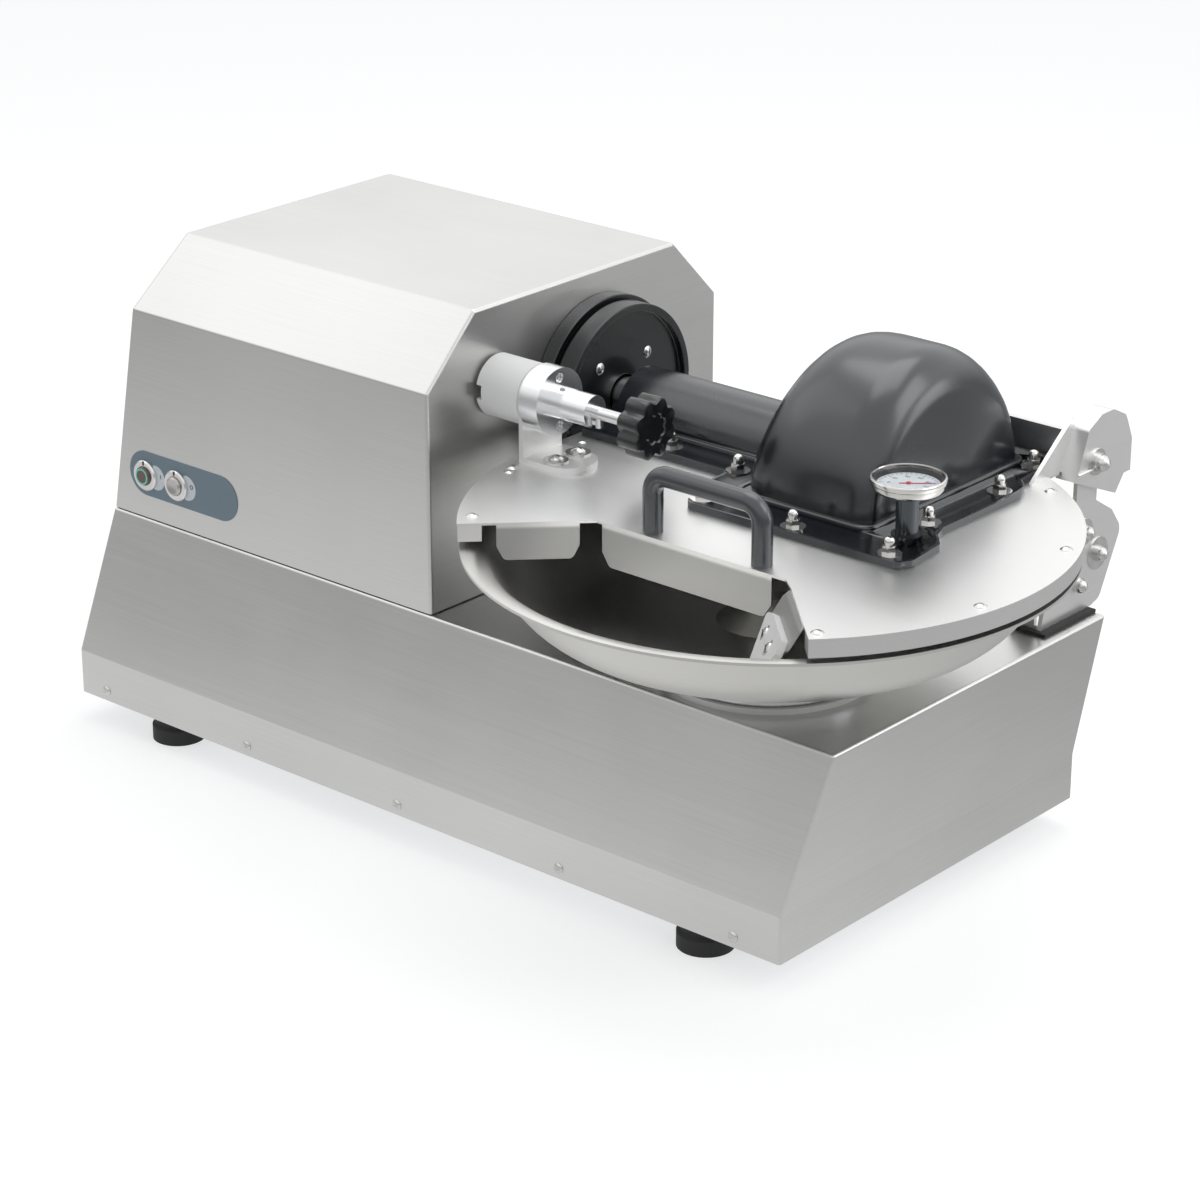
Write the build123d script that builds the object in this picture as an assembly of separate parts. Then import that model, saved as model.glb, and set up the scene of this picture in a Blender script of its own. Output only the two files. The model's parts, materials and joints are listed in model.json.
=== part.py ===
"""Meat bowl cutter: a bench machine with a turning bowl, a knife head under a hinged lid, and its drives.

Units are millimetres. The parts are drawn about the centre of the four feet, on the floor plane,
and stored about the middle of the machine's overall box, on the same plane.
+X runs towards the bowl, +Y towards the back with the hinges, +Z up.
"""

from build123d import *
import os
from math import atan2, cos, degrees, hypot, radians, sin

os.makedirs("parts", exist_ok=True)

# ---------------------------------------------------------------- driving dimensions
BASE_HALF_X = 425.0
BASE_HALF_Y = 211.5
FOOT_HEIGHT = 27.0
CREASE_Z = 70.3
BASE_TOP = 211.0
TOP_LEFT_X = -403.0
TOP_RIGHT_X = 450.0
TOP_FRONT_Y = -178.0
SHEET = 2.0
BEND = 3.0

FOOT_X = 323.0
FOOT_Y = 181.5
FOOT_R = 25.0

HOUSING_FRONT = -177.0
HOUSING_RIGHT = 6.5
HOUSING_LEAN = 0.187
SEAL_GAP = 1.0
EAVES_Z = 414.4
ROOF_Z = 475.5
CHAMFER = ROOF_Z - EAVES_Z

SHAFT_Y = 45.5
SHAFT_Z = 364.0
SHAFT_R = 17.5
RUNNING = 0.05

BOWL_X = 303.0
BOWL_Y = -78.5

LID_TOP = 349.0
LID_SHEET = 2.0
LID_R = 259.5
LID_LEFT_X = 46.0
HINGE_Y = 198.5
HINGE_Z = 354.5

LOCK_Y = -91.5
LOCK_Z = 403.5

BACK_Y = 253.0
MIDDLE_X = (BOWL_X + LID_R - BASE_HALF_X) / 2
MIDDLE_Y = (BACK_Y + BOWL_Y - LID_R) / 2

LOW = (Align.CENTER, Align.CENTER, Align.MIN)


# ---------------------------------------------------------------- helpers
def plate_x(face, low, high):
    """Extrusion along X of a face drawn in (y, z)."""
    return Pos(low, 0, 0) * extrude(Plane.YZ * face, high - low, dir=(1, 0, 0))


def prism_x(outline, low, high):
    """Extrusion along X of an outline of (y, z) points."""
    return plate_x(Polygon(*outline, align=None), low, high)


def prism_y(outline, low, high):
    """Extrusion along Y of an outline of (x, z) points."""
    return Pos(0, high, 0) * extrude(Plane.XZ * Polygon(*outline, align=None), high - low, dir=(0, -1, 0))


def prism_z(outline, low, high):
    """Extrusion along Z of an outline of (x, y) points."""
    return Pos(0, 0, low) * extrude(Polygon(*outline, align=None), high - low, dir=(0, 0, 1))


def block(low, high):
    """Box between two corners."""
    size = [b - a for a, b in zip(low, high)]
    middle = [(a + b) / 2 for a, b in zip(low, high)]
    return Pos(*middle) * Box(*size)


def bar(start, end, radius):
    """Round bar from one point to another."""
    line = Vector(*end) - Vector(*start)
    return Plane(origin=start, z_dir=line) * Cylinder(radius, line.length, align=LOW)


def turned(profile, radius=0.0):
    """Revolve about Z of a profile of (r, z) points, with its corners rounded where a radius is given."""
    face = Polygon(*profile, align=None)
    if radius:
        face = fillet(face.vertices(), radius)
    return revolve(Plane.XZ * face, Axis.Z)


def turned_x(profile, y, z, radius=0.0):
    """Revolve about an axis along X of a profile of (r, x) points."""
    return Pos(0, y, z) * Rot(0, 90, 0) * turned(profile, radius)


def at_bowl(part):
    """Moves a part modelled about Z to the bowl's axis."""
    return Pos(BOWL_X, BOWL_Y, 0) * part


def save(name, *solids):
    """Moves one node, of one or several separate solids, to the stored origin and writes it."""
    moved = [Pos(-MIDDLE_X, -MIDDLE_Y, 0) * solid for solid in solids]
    shape = moved[0] if len(moved) == 1 else Compound(children=moved)
    export_step(shape, f"parts/{name}.step")


# ---------------------------------------------------------------- base
def base_form(wall):
    """Body with a vertical skirt, a leaning front and both ends leaning to the right, drawn in by a wall."""
    floor = FOOT_HEIGHT - (1.0 if wall else 0.0)
    side = prism_y(
        [
            (-BASE_HALF_X + wall, floor),
            (BASE_HALF_X - wall, floor),
            (BASE_HALF_X - wall, CREASE_Z),
            (TOP_RIGHT_X - wall, BASE_TOP - wall),
            (TOP_LEFT_X + wall, BASE_TOP - wall),
            (-BASE_HALF_X + wall, CREASE_Z),
        ],
        -BASE_HALF_Y,
        BASE_HALF_Y,
    )
    front = prism_x(
        [
            (-BASE_HALF_Y + wall, floor),
            (BASE_HALF_Y - wall, floor),
            (BASE_HALF_Y - wall, BASE_TOP - wall),
            (TOP_FRONT_Y + wall, BASE_TOP - wall),
            (-BASE_HALF_Y + wall, CREASE_Z),
        ],
        -BASE_HALF_X * 1.2,
        BASE_HALF_X * 1.2,
    )
    return side & front


GLAND_X = -330.0
GLAND_Z = 120.0
GLAND_R = 10.0
MOTOR_WINDOW = ((-375.0, -140.0), (-15.0, 190.0))
SPINDLE_R = 15.0
SPINDLE_HOLE_R = 34.0


def base_shell():
    outer = base_form(0)
    bends = [edge for edge in outer.edges() if edge.center().Z > FOOT_HEIGHT + 1]
    shell = fillet(bends, BEND) - base_form(SHEET)
    (low_x, low_y), (high_x, high_y) = MOTOR_WINDOW
    shell -= block((low_x, low_y, BASE_TOP - 5), (high_x, high_y, BASE_TOP + 5))
    shell -= at_bowl(Pos(0, 0, BASE_TOP) * Cylinder(SPINDLE_HOLE_R, 10))
    shell -= bar((GLAND_X, BASE_HALF_Y - 5, GLAND_Z), (GLAND_X, BASE_HALF_Y + 5, GLAND_Z), GLAND_R)
    save("base_shell", shell)


def bottom_pan():
    """Tray that closes the base: its upturned flange takes the skirt screws, its louvres let the drives cool."""
    flange_height = 22.0
    outline = (BASE_HALF_X - SHEET, BASE_HALF_Y - SHEET)
    low = (-outline[0], -outline[1], FOOT_HEIGHT)
    high = (outline[0], outline[1], FOOT_HEIGHT + flange_height)
    inside_low = (low[0] + SHEET, low[1] + SHEET, FOOT_HEIGHT + SHEET)
    inside_high = (high[0] - SHEET, high[1] - SHEET, high[2] + 1)
    pan = block(low, high) - block(inside_low, inside_high)
    slot_count = 9
    slot_pitch = 14.0
    for index in range(slot_count):
        x = MOTOR_X_MID + (index - (slot_count - 1) / 2) * slot_pitch
        pan -= Pos(x, SHAFT_Y, FOOT_HEIGHT) * extrude(Rot(0, 0, 90) * SlotOverall(90, 6), 10, both=True)
    save("bottom_pan", pan)


def feet():
    """Four rubber feet, each with a waist and a moulded pad."""
    profile = [(0, 0), (FOOT_R, 0), (FOOT_R, 14), (FOOT_R - 3, 17), (FOOT_R - 3, FOOT_HEIGHT), (0, FOOT_HEIGHT)]
    foot = turned(profile)
    for side, x in (("left", -FOOT_X), ("right", FOOT_X)):
        for end, y in (("front", -FOOT_Y), ("rear", FOOT_Y)):
            save(f"foot_{end}_{side}", Pos(x, y, 0) * foot)


SKIRT_SCREW_Z = 37.0
SKIRT_SCREW_X = [-389.4 + 191.4 * index for index in range(5)]


def screw_head(radius, height):
    """Round head with a cross slot, seated at z = 0."""
    dome = Pos(0, 0, height - radius * 1.4) * Sphere(radius * 1.4)
    head = Cylinder(radius, height, align=LOW) & dome
    head -= Pos(0, 0, height) * Box(radius * 1.3, radius * 0.25, height * 0.7)
    return head


def skirt_screws():
    """Pan-head screws through the skirt into the pan's flange, front and back."""
    heads = []
    for x in SKIRT_SCREW_X:
        front = Location((x, -BASE_HALF_Y, SKIRT_SCREW_Z), (90, 0, 0))
        back = Location((x, BASE_HALF_Y, SKIRT_SCREW_Z), (-90, 0, 0))
        heads += [front * screw_head(5.0, 2.6), back * screw_head(5.0, 2.6)]
    save("skirt_screws", *heads)


# ---------------------------------------------------------------- motor housing
BUTTON_Z = 255.0
START_X = -355.1
STOP_X = -313.5
BUTTON_HOLE_R = 11.0


def housing_form(wall):
    """Hood with two 45 degree roof chamfers, its left end leaning like the base's."""
    floor = BASE_TOP + SEAL_GAP - (1.0 if wall else 0.0)
    roof = ROOF_Z - wall
    bevel = CHAMFER - 0.41 * wall
    left_low = TOP_LEFT_X + wall
    left_high = TOP_LEFT_X + HOUSING_LEAN * (ROOF_Z - BASE_TOP) + wall
    front = HOUSING_FRONT + wall
    back = BASE_HALF_Y - wall
    section = prism_x(
        [
            (front, floor),
            (back, floor),
            (back, roof - bevel),
            (back - bevel, roof),
            (front + bevel, roof),
            (front, roof - bevel),
        ],
        TOP_LEFT_X - 20,
        HOUSING_RIGHT - wall,
    )
    side = prism_y(
        [(left_low, floor), (HOUSING_RIGHT - wall, floor), (HOUSING_RIGHT - wall, roof), (left_high, roof)],
        -BASE_HALF_Y * 1.2,
        BASE_HALF_Y * 1.2,
    )
    return section & side


def motor_housing():
    outer = housing_form(0)
    bends = [edge for edge in outer.edges() if edge.center().Z > BASE_TOP + SEAL_GAP + 1]
    hood = fillet(bends, BEND) - housing_form(SHEET)
    hood -= bar((0, SHAFT_Y, SHAFT_Z), (20, SHAFT_Y, SHAFT_Z), SHAFT_R + 6)
    hood -= bar((0, LOCK_Y, LOCK_Z), (20, LOCK_Y, LOCK_Z), LOCK_ROD_R + 1.5)
    for x in (START_X, STOP_X):
        hood -= bar((x, HOUSING_FRONT - 5, BUTTON_Z), (x, HOUSING_FRONT + 5, BUTTON_Z), BUTTON_HOLE_R)
    save("motor_housing", hood)


def housing_seal():
    """Set-back rubber strip that fills the joint line between hood and base."""
    inset = 3.0
    width = 6.0
    low = BASE_TOP
    high = BASE_TOP + SEAL_GAP
    left = TOP_LEFT_X + inset
    right = HOUSING_RIGHT - inset
    front = HOUSING_FRONT + inset
    back = BASE_HALF_Y - inset - 2
    strip = block((left, front, low), (right, back, high))
    strip -= block((left + width, front + width, low - 1), (right - width, back - width, high + 1))
    save("housing_seal", strip)


def control_overlay():
    """Pill-shaped panel behind the two buttons."""
    left = -378.0
    right = -234.0
    low = 234.5
    high = 278.0
    thick = 0.6
    plane = Plane.XZ.offset(-HOUSING_FRONT)
    pill = plane * Pos((left + right) / 2, (low + high) / 2) * SlotOverall(right - left, high - low)
    panel = extrude(pill, thick)
    for x in (START_X, STOP_X):
        panel -= bar((x, HOUSING_FRONT - 5, BUTTON_Z), (x, HOUSING_FRONT + 5, BUTTON_Z), BUTTON_HOLE_R)
    save("control_overlay", panel)


BEZEL_R = 14.75
BUTTON_CAP_R = 9.0
BUTTON_GAP = 0.35
PANEL_FACE = HOUSING_FRONT - 0.6


def buttons():
    """Two push buttons: a fixed bezel with its barrel behind the panel, and a cap that travels in it."""
    face = 4.0
    barrel_depth = 32.0
    bore_depth = 12.0
    cap_proud = 2.5
    bezel = Cylinder(BEZEL_R, face, align=LOW)
    bezel = chamfer(bezel.edges().sort_by(Axis.Z)[-1], 1.2)
    bezel += Pos(0, 0, -barrel_depth) * Cylinder(BUTTON_HOLE_R, barrel_depth, align=LOW)
    bezel -= Pos(0, 0, -bore_depth) * Cylinder(BUTTON_CAP_R + BUTTON_GAP, bore_depth + face + 1, align=LOW)
    cap_base = -bore_depth + 5.0
    cap = Pos(0, 0, cap_base) * Cylinder(BUTTON_CAP_R, face + cap_proud - cap_base, align=LOW)
    cap = chamfer(cap.edges().sort_by(Axis.Z)[-1], 1.0)
    bezels = []
    for name, x in (("start_button", START_X), ("stop_button", STOP_X)):
        place = Location((x, PANEL_FACE, BUTTON_Z), (90, 0, 0))
        bezels.append(place * bezel)
        save(name, place * cap)
    save("button_bezels", *bezels)


# ---------------------------------------------------------------- knife drive
FLANGE_FACE = 43.5
FLANGE_R = 84.5
FLANGE_BACK_R = 88.5
FLANGE_RECESS = 37.5
BEARING_LEFT = -62.0
BEARING_R = 31.0
PULLEY_LEFT = -104.0
PULLEY_RIGHT = -74.0
DRIVEN_R = 40.0
DRIVE_R = 52.0
BELT = 5.0
BELT_GAP = 0.3
MOTOR_Z = 135.0
MOTOR_R = 78.0
MOTOR_LEFT = -345.0
MOTOR_RIGHT = -125.0
MOTOR_X_MID = (MOTOR_LEFT + MOTOR_RIGHT) / 2
MOTOR_SHAFT_R = 14.0


def shaft_flange():
    """Black two-step ring round the shaft on the hood's end, with a groove and a recessed face."""
    bore = SHAFT_R + 1.5
    lip = 7.0
    back_face = 21.0
    front_start = 25.0
    groove_r = FLANGE_R - 5
    profile = [
        (bore, HOUSING_RIGHT),
        (FLANGE_BACK_R, HOUSING_RIGHT),
        (FLANGE_BACK_R, back_face),
        (groove_r, back_face),
        (groove_r, front_start),
        (FLANGE_R, front_start),
        (FLANGE_R, FLANGE_FACE),
        (FLANGE_R - lip, FLANGE_FACE),
        (FLANGE_R - lip, FLANGE_RECESS),
        (bore, FLANGE_RECESS),
    ]
    save("shaft_flange", turned_x(profile, SHAFT_Y, SHAFT_Z, 1.2))


def flange_screws():
    """Four countersunk screws in the flange's recessed face."""
    circle_r = 46.0
    screws = []
    for angle in (45, 135, 225, 315):
        y = SHAFT_Y + circle_r * cos(radians(angle))
        z = SHAFT_Z + circle_r * sin(radians(angle))
        screws.append(Location((FLANGE_RECESS, y, z), (0, 90, 0)) * screw_head(6.0, 2.0))
    save("flange_screws", *screws)


def knife_bearing_housing():
    """Cast cartridge bolted inside the hood's end wall, bored for two bearings."""
    wall_face = HOUSING_RIGHT - SHEET
    profile = [
        (BEARING_R, BEARING_LEFT),
        (44, BEARING_LEFT),
        (44, wall_face - 14),
        (74, wall_face - 14),
        (74, wall_face),
        (BEARING_R, wall_face),
    ]
    cartridge = turned_x(profile, SHAFT_Y, SHAFT_Z)
    rib_count = 6
    for index in range(rib_count):
        angle = 30 + index * 360 / rib_count
        rib = block((BEARING_LEFT + 12, 40, -4), (wall_face - 12, 68, 4))
        cartridge += Pos(0, SHAFT_Y, SHAFT_Z) * Rot(angle, 0, 0) * rib
    save("knife_bearing_housing", cartridge)


def shaft_bearings():
    """Two ball bearings of the knife shaft, inside the cartridge."""
    width = 16.0
    rings = []
    for left in (BEARING_LEFT, HOUSING_RIGHT - SHEET - width):
        bore = SHAFT_R + RUNNING
        rings.append(
            turned_x([(bore, left), (BEARING_R, left), (BEARING_R, left + width), (bore, left + width)], SHAFT_Y, SHAFT_Z)
        )
    save("shaft_bearings", *rings)


def pulley(outer_r, bore_r, y, z):
    """Two-flanged belt pulley with a recessed web."""
    rim = 5.0
    flange = 3.0
    web = 8.0
    middle = (PULLEY_LEFT + PULLEY_RIGHT) / 2
    profile = [
        (bore_r, PULLEY_LEFT),
        (bore_r + 9, PULLEY_LEFT),
        (bore_r + 9, middle - web / 2),
        (outer_r - rim, middle - web / 2),
        (outer_r - rim, PULLEY_LEFT),
        (outer_r + flange, PULLEY_LEFT),
        (outer_r + flange, PULLEY_LEFT + flange),
        (outer_r, PULLEY_LEFT + flange),
        (outer_r, PULLEY_RIGHT - flange),
        (outer_r + flange, PULLEY_RIGHT - flange),
        (outer_r + flange, PULLEY_RIGHT),
        (outer_r - rim, PULLEY_RIGHT),
        (outer_r - rim, middle + web / 2),
        (bore_r + 9, middle + web / 2),
        (bore_r + 9, PULLEY_RIGHT),
        (bore_r, PULLEY_RIGHT),
    ]
    return turned_x(profile, y, z)


def belt_loop(grow):
    """Outline round both pulleys, grown outwards, as a face in the YZ plane."""
    upper = Pos(SHAFT_Y, SHAFT_Z) * Circle(DRIVEN_R + grow)
    lower = Pos(SHAFT_Y, MOTOR_Z) * Circle(DRIVE_R + grow)
    return Plane.YZ * make_hull(upper.edges() + lower.edges())


def drive_belt():
    """Flat toothed belt as one closed band, a little off both pulleys."""
    edge = 4.0
    left = PULLEY_LEFT + edge
    right = PULLEY_RIGHT - edge
    band = extrude(belt_loop(BELT_GAP + BELT) - belt_loop(BELT_GAP), right - left)
    save("drive_belt", Pos(left, 0, 0) * band)


def knife_motor():
    """Foot-mounted motor in the base: finned frame, two end bells, a terminal box and its cradle."""
    bell = 24.0
    bore = MOTOR_SHAFT_R + RUNNING
    profile = [
        (0, MOTOR_LEFT),
        (MOTOR_R - 14, MOTOR_LEFT),
        (MOTOR_R - 4, MOTOR_LEFT + bell),
        (MOTOR_R - 4, MOTOR_RIGHT - bell),
        (MOTOR_R - 14, MOTOR_RIGHT),
        (bore, MOTOR_RIGHT),
        (bore, MOTOR_RIGHT - 60),
        (0, MOTOR_RIGHT - 60),
    ]
    motor = turned_x(profile, SHAFT_Y, MOTOR_Z)
    fin_count = 24
    fin = block((MOTOR_LEFT + bell + 2, MOTOR_R - 6, -1.5), (MOTOR_RIGHT - bell - 2, MOTOR_R, 1.5))
    for index in range(fin_count):
        motor += Pos(0, SHAFT_Y, MOTOR_Z) * Rot(index * 360 / fin_count, 0, 0) * fin
    cradle_half = 62.0
    floor = FOOT_HEIGHT + SHEET
    for x in (MOTOR_LEFT + 40, MOTOR_RIGHT - 60):
        low = (x, SHAFT_Y - cradle_half, floor)
        high = (x + 20, SHAFT_Y + cradle_half, MOTOR_Z - 20)
        motor += block(low, high)
    box_half = 38.0
    motor += block((MOTOR_X_MID - 45, SHAFT_Y - box_half, MOTOR_Z + 60), (MOTOR_X_MID + 45, SHAFT_Y + box_half, 232))
    save("knife_motor", motor)


def motor_rotor():
    start = (MOTOR_RIGHT - 59.5, SHAFT_Y, MOTOR_Z)
    end = (PULLEY_RIGHT + 4, SHAFT_Y, MOTOR_Z)
    save("motor_shaft", bar(start, end, MOTOR_SHAFT_R))
    save("drive_pulley", pulley(DRIVE_R, MOTOR_SHAFT_R, SHAFT_Y, MOTOR_Z))


# ---------------------------------------------------------------- knife head
BLADE_R = 93.0
BLADE_THICK = 4.0
BLADE_PITCH = 12.0
BLADE_MIDDLE = 324.0
BLADE_COUNT = 3
HUB_R = 27.0
KNIFE_SHOULDER = 290.0
KNIFE_SEAT_R = 13.0
KNIFE_END = 372.0


def knife_shaft():
    """Stepped shaft: bearing length, a shoulder for the knives and a seat for the nut."""
    profile = [
        (0, PULLEY_LEFT - 6),
        (SHAFT_R, PULLEY_LEFT - 6),
        (SHAFT_R, KNIFE_SHOULDER - 18),
        (HUB_R, KNIFE_SHOULDER - 10),
        (HUB_R, KNIFE_SHOULDER),
        (KNIFE_SEAT_R, KNIFE_SHOULDER),
        (KNIFE_SEAT_R, KNIFE_END),
        (0, KNIFE_END),
    ]
    save("knife_shaft", turned_x(profile, SHAFT_Y, SHAFT_Z))
    save("driven_pulley", pulley(DRIVEN_R, SHAFT_R, SHAFT_Y, SHAFT_Z))


def blade_left(index):
    """Left face of one blade."""
    return BLADE_MIDDLE + (index - (BLADE_COUNT - 1) / 2) * BLADE_PITCH - BLADE_THICK / 2


def knife_blades():
    """Three sickle blades, set a third of a turn apart along the shaft, each ground to one edge."""
    ring = Circle(HUB_R)
    belly = Pos(26, -33) * Circle(68) - Pos(-14, -58) * Circle(62)
    tip = Circle(BLADE_R)
    outline = (ring + belly) & tip
    outline -= Circle(KNIFE_SEAT_R)
    blank = extrude(Plane.YZ * outline, BLADE_THICK)
    for index in range(BLADE_COUNT):
        place = Pos(blade_left(index), SHAFT_Y, SHAFT_Z) * Rot(90 + index * 360 / BLADE_COUNT, 0, 0)
        save(f"knife_blade_{index + 1}", place * blank)


def knife_spacers():
    """Rings between the shoulder, the blades and the nut."""
    edges = [KNIFE_SHOULDER]
    for index in range(BLADE_COUNT):
        edges += [blade_left(index), blade_left(index) + BLADE_THICK]
    edges.append(KNIFE_END - 26)
    rings = []
    for left, right in zip(edges[0::2], edges[1::2]):
        profile = [(KNIFE_SEAT_R, left), (HUB_R - 2, left), (HUB_R - 2, right), (KNIFE_SEAT_R, right)]
        rings.append(turned_x(profile, SHAFT_Y, SHAFT_Z))
    save("knife_spacers", *rings)


def knife_nut():
    """Large hexagon nut with a rounded nose that clamps the blades."""
    left = KNIFE_END - 26
    across_corners = 24.0
    plane = Plane(origin=(left, SHAFT_Y, SHAFT_Z), x_dir=(0, 1, 0), z_dir=(1, 0, 0))
    nut = extrude(plane * RegularPolygon(across_corners, 6), 20)
    nut -= bar((left - 1, SHAFT_Y, SHAFT_Z), (left + 21, SHAFT_Y, SHAFT_Z), KNIFE_SEAT_R)
    save("knife_nut", nut)


# ---------------------------------------------------------------- bowl and its drive
TURNTABLE_R = 88.0
SEAT_TOP = BASE_TOP + 5.0
BOWL_FLOOR = 256.0
BOWL_WALL = 2.5
BOWL_FLAT_R = 150.0
BOWL_CORNER_R = 85.0
BOWL_SLOPE = 57.0
BOWL_STRAIGHT = 25.0
BOWL_FLARE_R = 22.0
BOWL_RIM_R = 258.0
SPINDLE_TOP = 276.0


def bowl_side(wall):
    """Points and arcs of the bowl's wall from the axis to the rim, drawn in by a wall."""
    slope = radians(BOWL_SLOPE)
    corner_z = BOWL_FLOOR + BOWL_CORNER_R
    radius = BOWL_CORNER_R - wall
    flat_end = (BOWL_FLAT_R, BOWL_FLOOR + wall)
    middle = (BOWL_FLAT_R + radius * sin(slope / 2), corner_z - radius * cos(slope / 2))
    corner_end = (BOWL_FLAT_R + radius * sin(slope), corner_z - radius * cos(slope))
    straight_end = (corner_end[0] + BOWL_STRAIGHT * cos(slope), corner_end[1] + BOWL_STRAIGHT * sin(slope))
    flare = BOWL_FLARE_R + wall
    flare_x = straight_end[0] + flare * sin(slope)
    flare_z = straight_end[1] - flare * cos(slope)
    half = (slope + 0.0) / 2
    flare_middle = (flare_x - flare * sin(half), flare_z + flare * cos(half))
    lip_start = (flare_x, flare_z + flare)
    return flat_end, middle, corner_end, straight_end, flare_middle, lip_start


def bowl():
    """Spun bowl with a flat ring floor, an S-shaped wall and a flared lip, round a low centre hub."""
    outer = bowl_side(0)
    inner = bowl_side(BOWL_WALL)
    with BuildPart() as spun:
        with BuildSketch(Plane.XZ):
            with BuildLine():
                Line((SPINDLE_R, BOWL_FLOOR), outer[0])
                ThreePointArc(outer[0], outer[1], outer[2])
                Line(outer[2], outer[3])
                ThreePointArc(outer[3], outer[4], outer[5])
                Line(outer[5], (BOWL_RIM_R, outer[5][1]))
                Line((BOWL_RIM_R, outer[5][1]), (BOWL_RIM_R, inner[5][1]))
                Line((BOWL_RIM_R, inner[5][1]), inner[5])
                ThreePointArc(inner[5], inner[4], inner[3])
                Line(inner[3], inner[2])
                ThreePointArc(inner[2], inner[1], inner[0])
                Line(inner[0], (44, BOWL_FLOOR + BOWL_WALL))
                Line((44, BOWL_FLOOR + BOWL_WALL), (26, SPINDLE_TOP - 4))
                Line((26, SPINDLE_TOP - 4), (SPINDLE_R, SPINDLE_TOP - 4))
                Line((SPINDLE_R, SPINDLE_TOP - 4), (SPINDLE_R, BOWL_FLOOR))
            make_face()
        revolve(axis=Axis.Z)
    save("bowl", at_bowl(spun.part))


def bowl_knob():
    """Low round knob that screws on the spindle and holds the bowl down."""
    base = SPINDLE_TOP - 4
    profile = [(0, SPINDLE_TOP), (SPINDLE_R, SPINDLE_TOP), (SPINDLE_R, base), (22, base), (22, base + 12), (16, base + 17), (0, base + 17)]
    save("bowl_knob", at_bowl(turned(profile)))


def bowl_spindle():
    """Vertical output shaft of the bowl drive."""
    gear_top = BASE_TOP - SHEET - 8
    save("bowl_spindle", at_bowl(Pos(0, 0, gear_top - 20) * Cylinder(SPINDLE_R, SPINDLE_TOP - gear_top + 20, align=LOW)))


def bowl_turntable():
    """Polished drum under the bowl that turns with it."""
    low = SEAT_TOP + 1.0
    profile = [
        (SPINDLE_R, low + 8),
        (TURNTABLE_R - 14, low + 8),
        (TURNTABLE_R - 14, low),
        (TURNTABLE_R, low),
        (TURNTABLE_R, low + 8),
        (TURNTABLE_R - 6, low + 14),
        (TURNTABLE_R - 6, BOWL_FLOOR),
        (SPINDLE_R, BOWL_FLOOR),
    ]
    save("bowl_turntable", at_bowl(turned(profile)))


def turntable_seat():
    """Fixed wear ring on the base top, under the turntable's rim."""
    profile = [(SPINDLE_HOLE_R + 6, BASE_TOP), (TURNTABLE_R + 4, BASE_TOP), (TURNTABLE_R + 4, SEAT_TOP), (SPINDLE_HOLE_R + 6, SEAT_TOP)]
    save("turntable_seat", at_bowl(turned(profile)))


def bowl_gearmotor():
    """Closed worm gearbox under the base top, with its own small motor lying along X."""
    top = BASE_TOP - SHEET
    gear_low = top - 92
    bore = SPINDLE_R + RUNNING
    case = block((BOWL_X - 58, BOWL_Y - 52, gear_low), (BOWL_X + 58, BOWL_Y + 52, top - 10))
    case = fillet(case.edges().filter_by(Axis.Z), 12)
    case += at_bowl(Pos(0, 0, top - 10) * Cylinder(46, 10, align=LOW))
    motor_z = gear_low + 34
    case += bar((BOWL_X - 230, BOWL_Y, motor_z), (BOWL_X - 50, BOWL_Y, motor_z), 46)
    case += block((BOWL_X - 40, BOWL_Y - 40, FOOT_HEIGHT + SHEET), (BOWL_X + 40, BOWL_Y + 40, gear_low + 1))
    case -= at_bowl(Pos(0, 0, gear_low + 20) * Cylinder(bore, 120, align=LOW))
    save("bowl_gearmotor", case)


# ---------------------------------------------------------------- electrics
def cable_gland():
    """Nylon gland in the back panel, with no cable in it."""
    hexagon = extrude(RegularPolygon(14, 6), 8)
    gland = hexagon + Cylinder(11, 20, align=LOW) + Pos(0, 0, -14) * Cylinder(GLAND_R, 14, align=LOW)
    gland = gland - Pos(0, 0, -20) * Cylinder(4.5, 60, align=LOW)
    save("cable_gland", Location((GLAND_X, BASE_HALF_Y, GLAND_Z), (-90, 0, 0)) * gland)


def contactor_box():
    """Closed box of the start and stop relays, on the hood's front wall."""
    front = HOUSING_FRONT + SHEET
    save("contactor_box", block((-260, front, 300), (-150, front + 55, 390)))


# ---------------------------------------------------------------- hinge brackets
BRACKET_OUT = 432.0
BRACKET_THICK = 4.0
PAD_TOP = BASE_TOP + 3.0
PIN_R = 6.0
LEFT_FLIP = 2 * BOWL_X


def both_sides(part):
    """The part and its mirror image about the bowl's axis plane."""
    mirrored = Pos(LEFT_FLIP, 0, 0) * mirror(part, Plane.YZ)
    return part, mirrored


def hinge_bracket_form():
    """Bent bracket leaning back from its foot to the pivot, with a front web and a slit at the corner."""
    inner = BRACKET_OUT - BRACKET_THICK
    outline = [(137, PAD_TOP), (214, PAD_TOP), (227, 218), (256, 276), (240, 297), (214, 313), (214, 370), (183, 370), (183, 322), (142, 236)]
    face = Polygon(*outline, align=None)
    rounded = {1: 8, 2: 10, 3: 12, 4: 10, 6: 15, 7: 15, 8: 14}
    for index, radius in rounded.items():
        corner = outline[index]
        vertex = face.vertices().sort_by_distance(Vector(*corner))[0]
        face = fillet(vertex, radius)
    plate = plate_x(face, inner, BRACKET_OUT)
    foot = block((392, 137, PAD_TOP), (inner, 210, PAD_TOP + BRACKET_THICK))
    web_height = 34.0
    slit = 3.0
    web = prism_y(
        [(400, PAD_TOP), (inner - slit, PAD_TOP), (inner - slit, PAD_TOP + web_height), (420, PAD_TOP + web_height), (400, PAD_TOP + 10)],
        137,
        137 + BRACKET_THICK,
    )
    bracket = plate + foot + web
    bracket -= bar((inner - 5, HINGE_Y, HINGE_Z), (BRACKET_OUT + 5, HINGE_Y, HINGE_Z), PIN_R + RUNNING)
    return bracket


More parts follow.
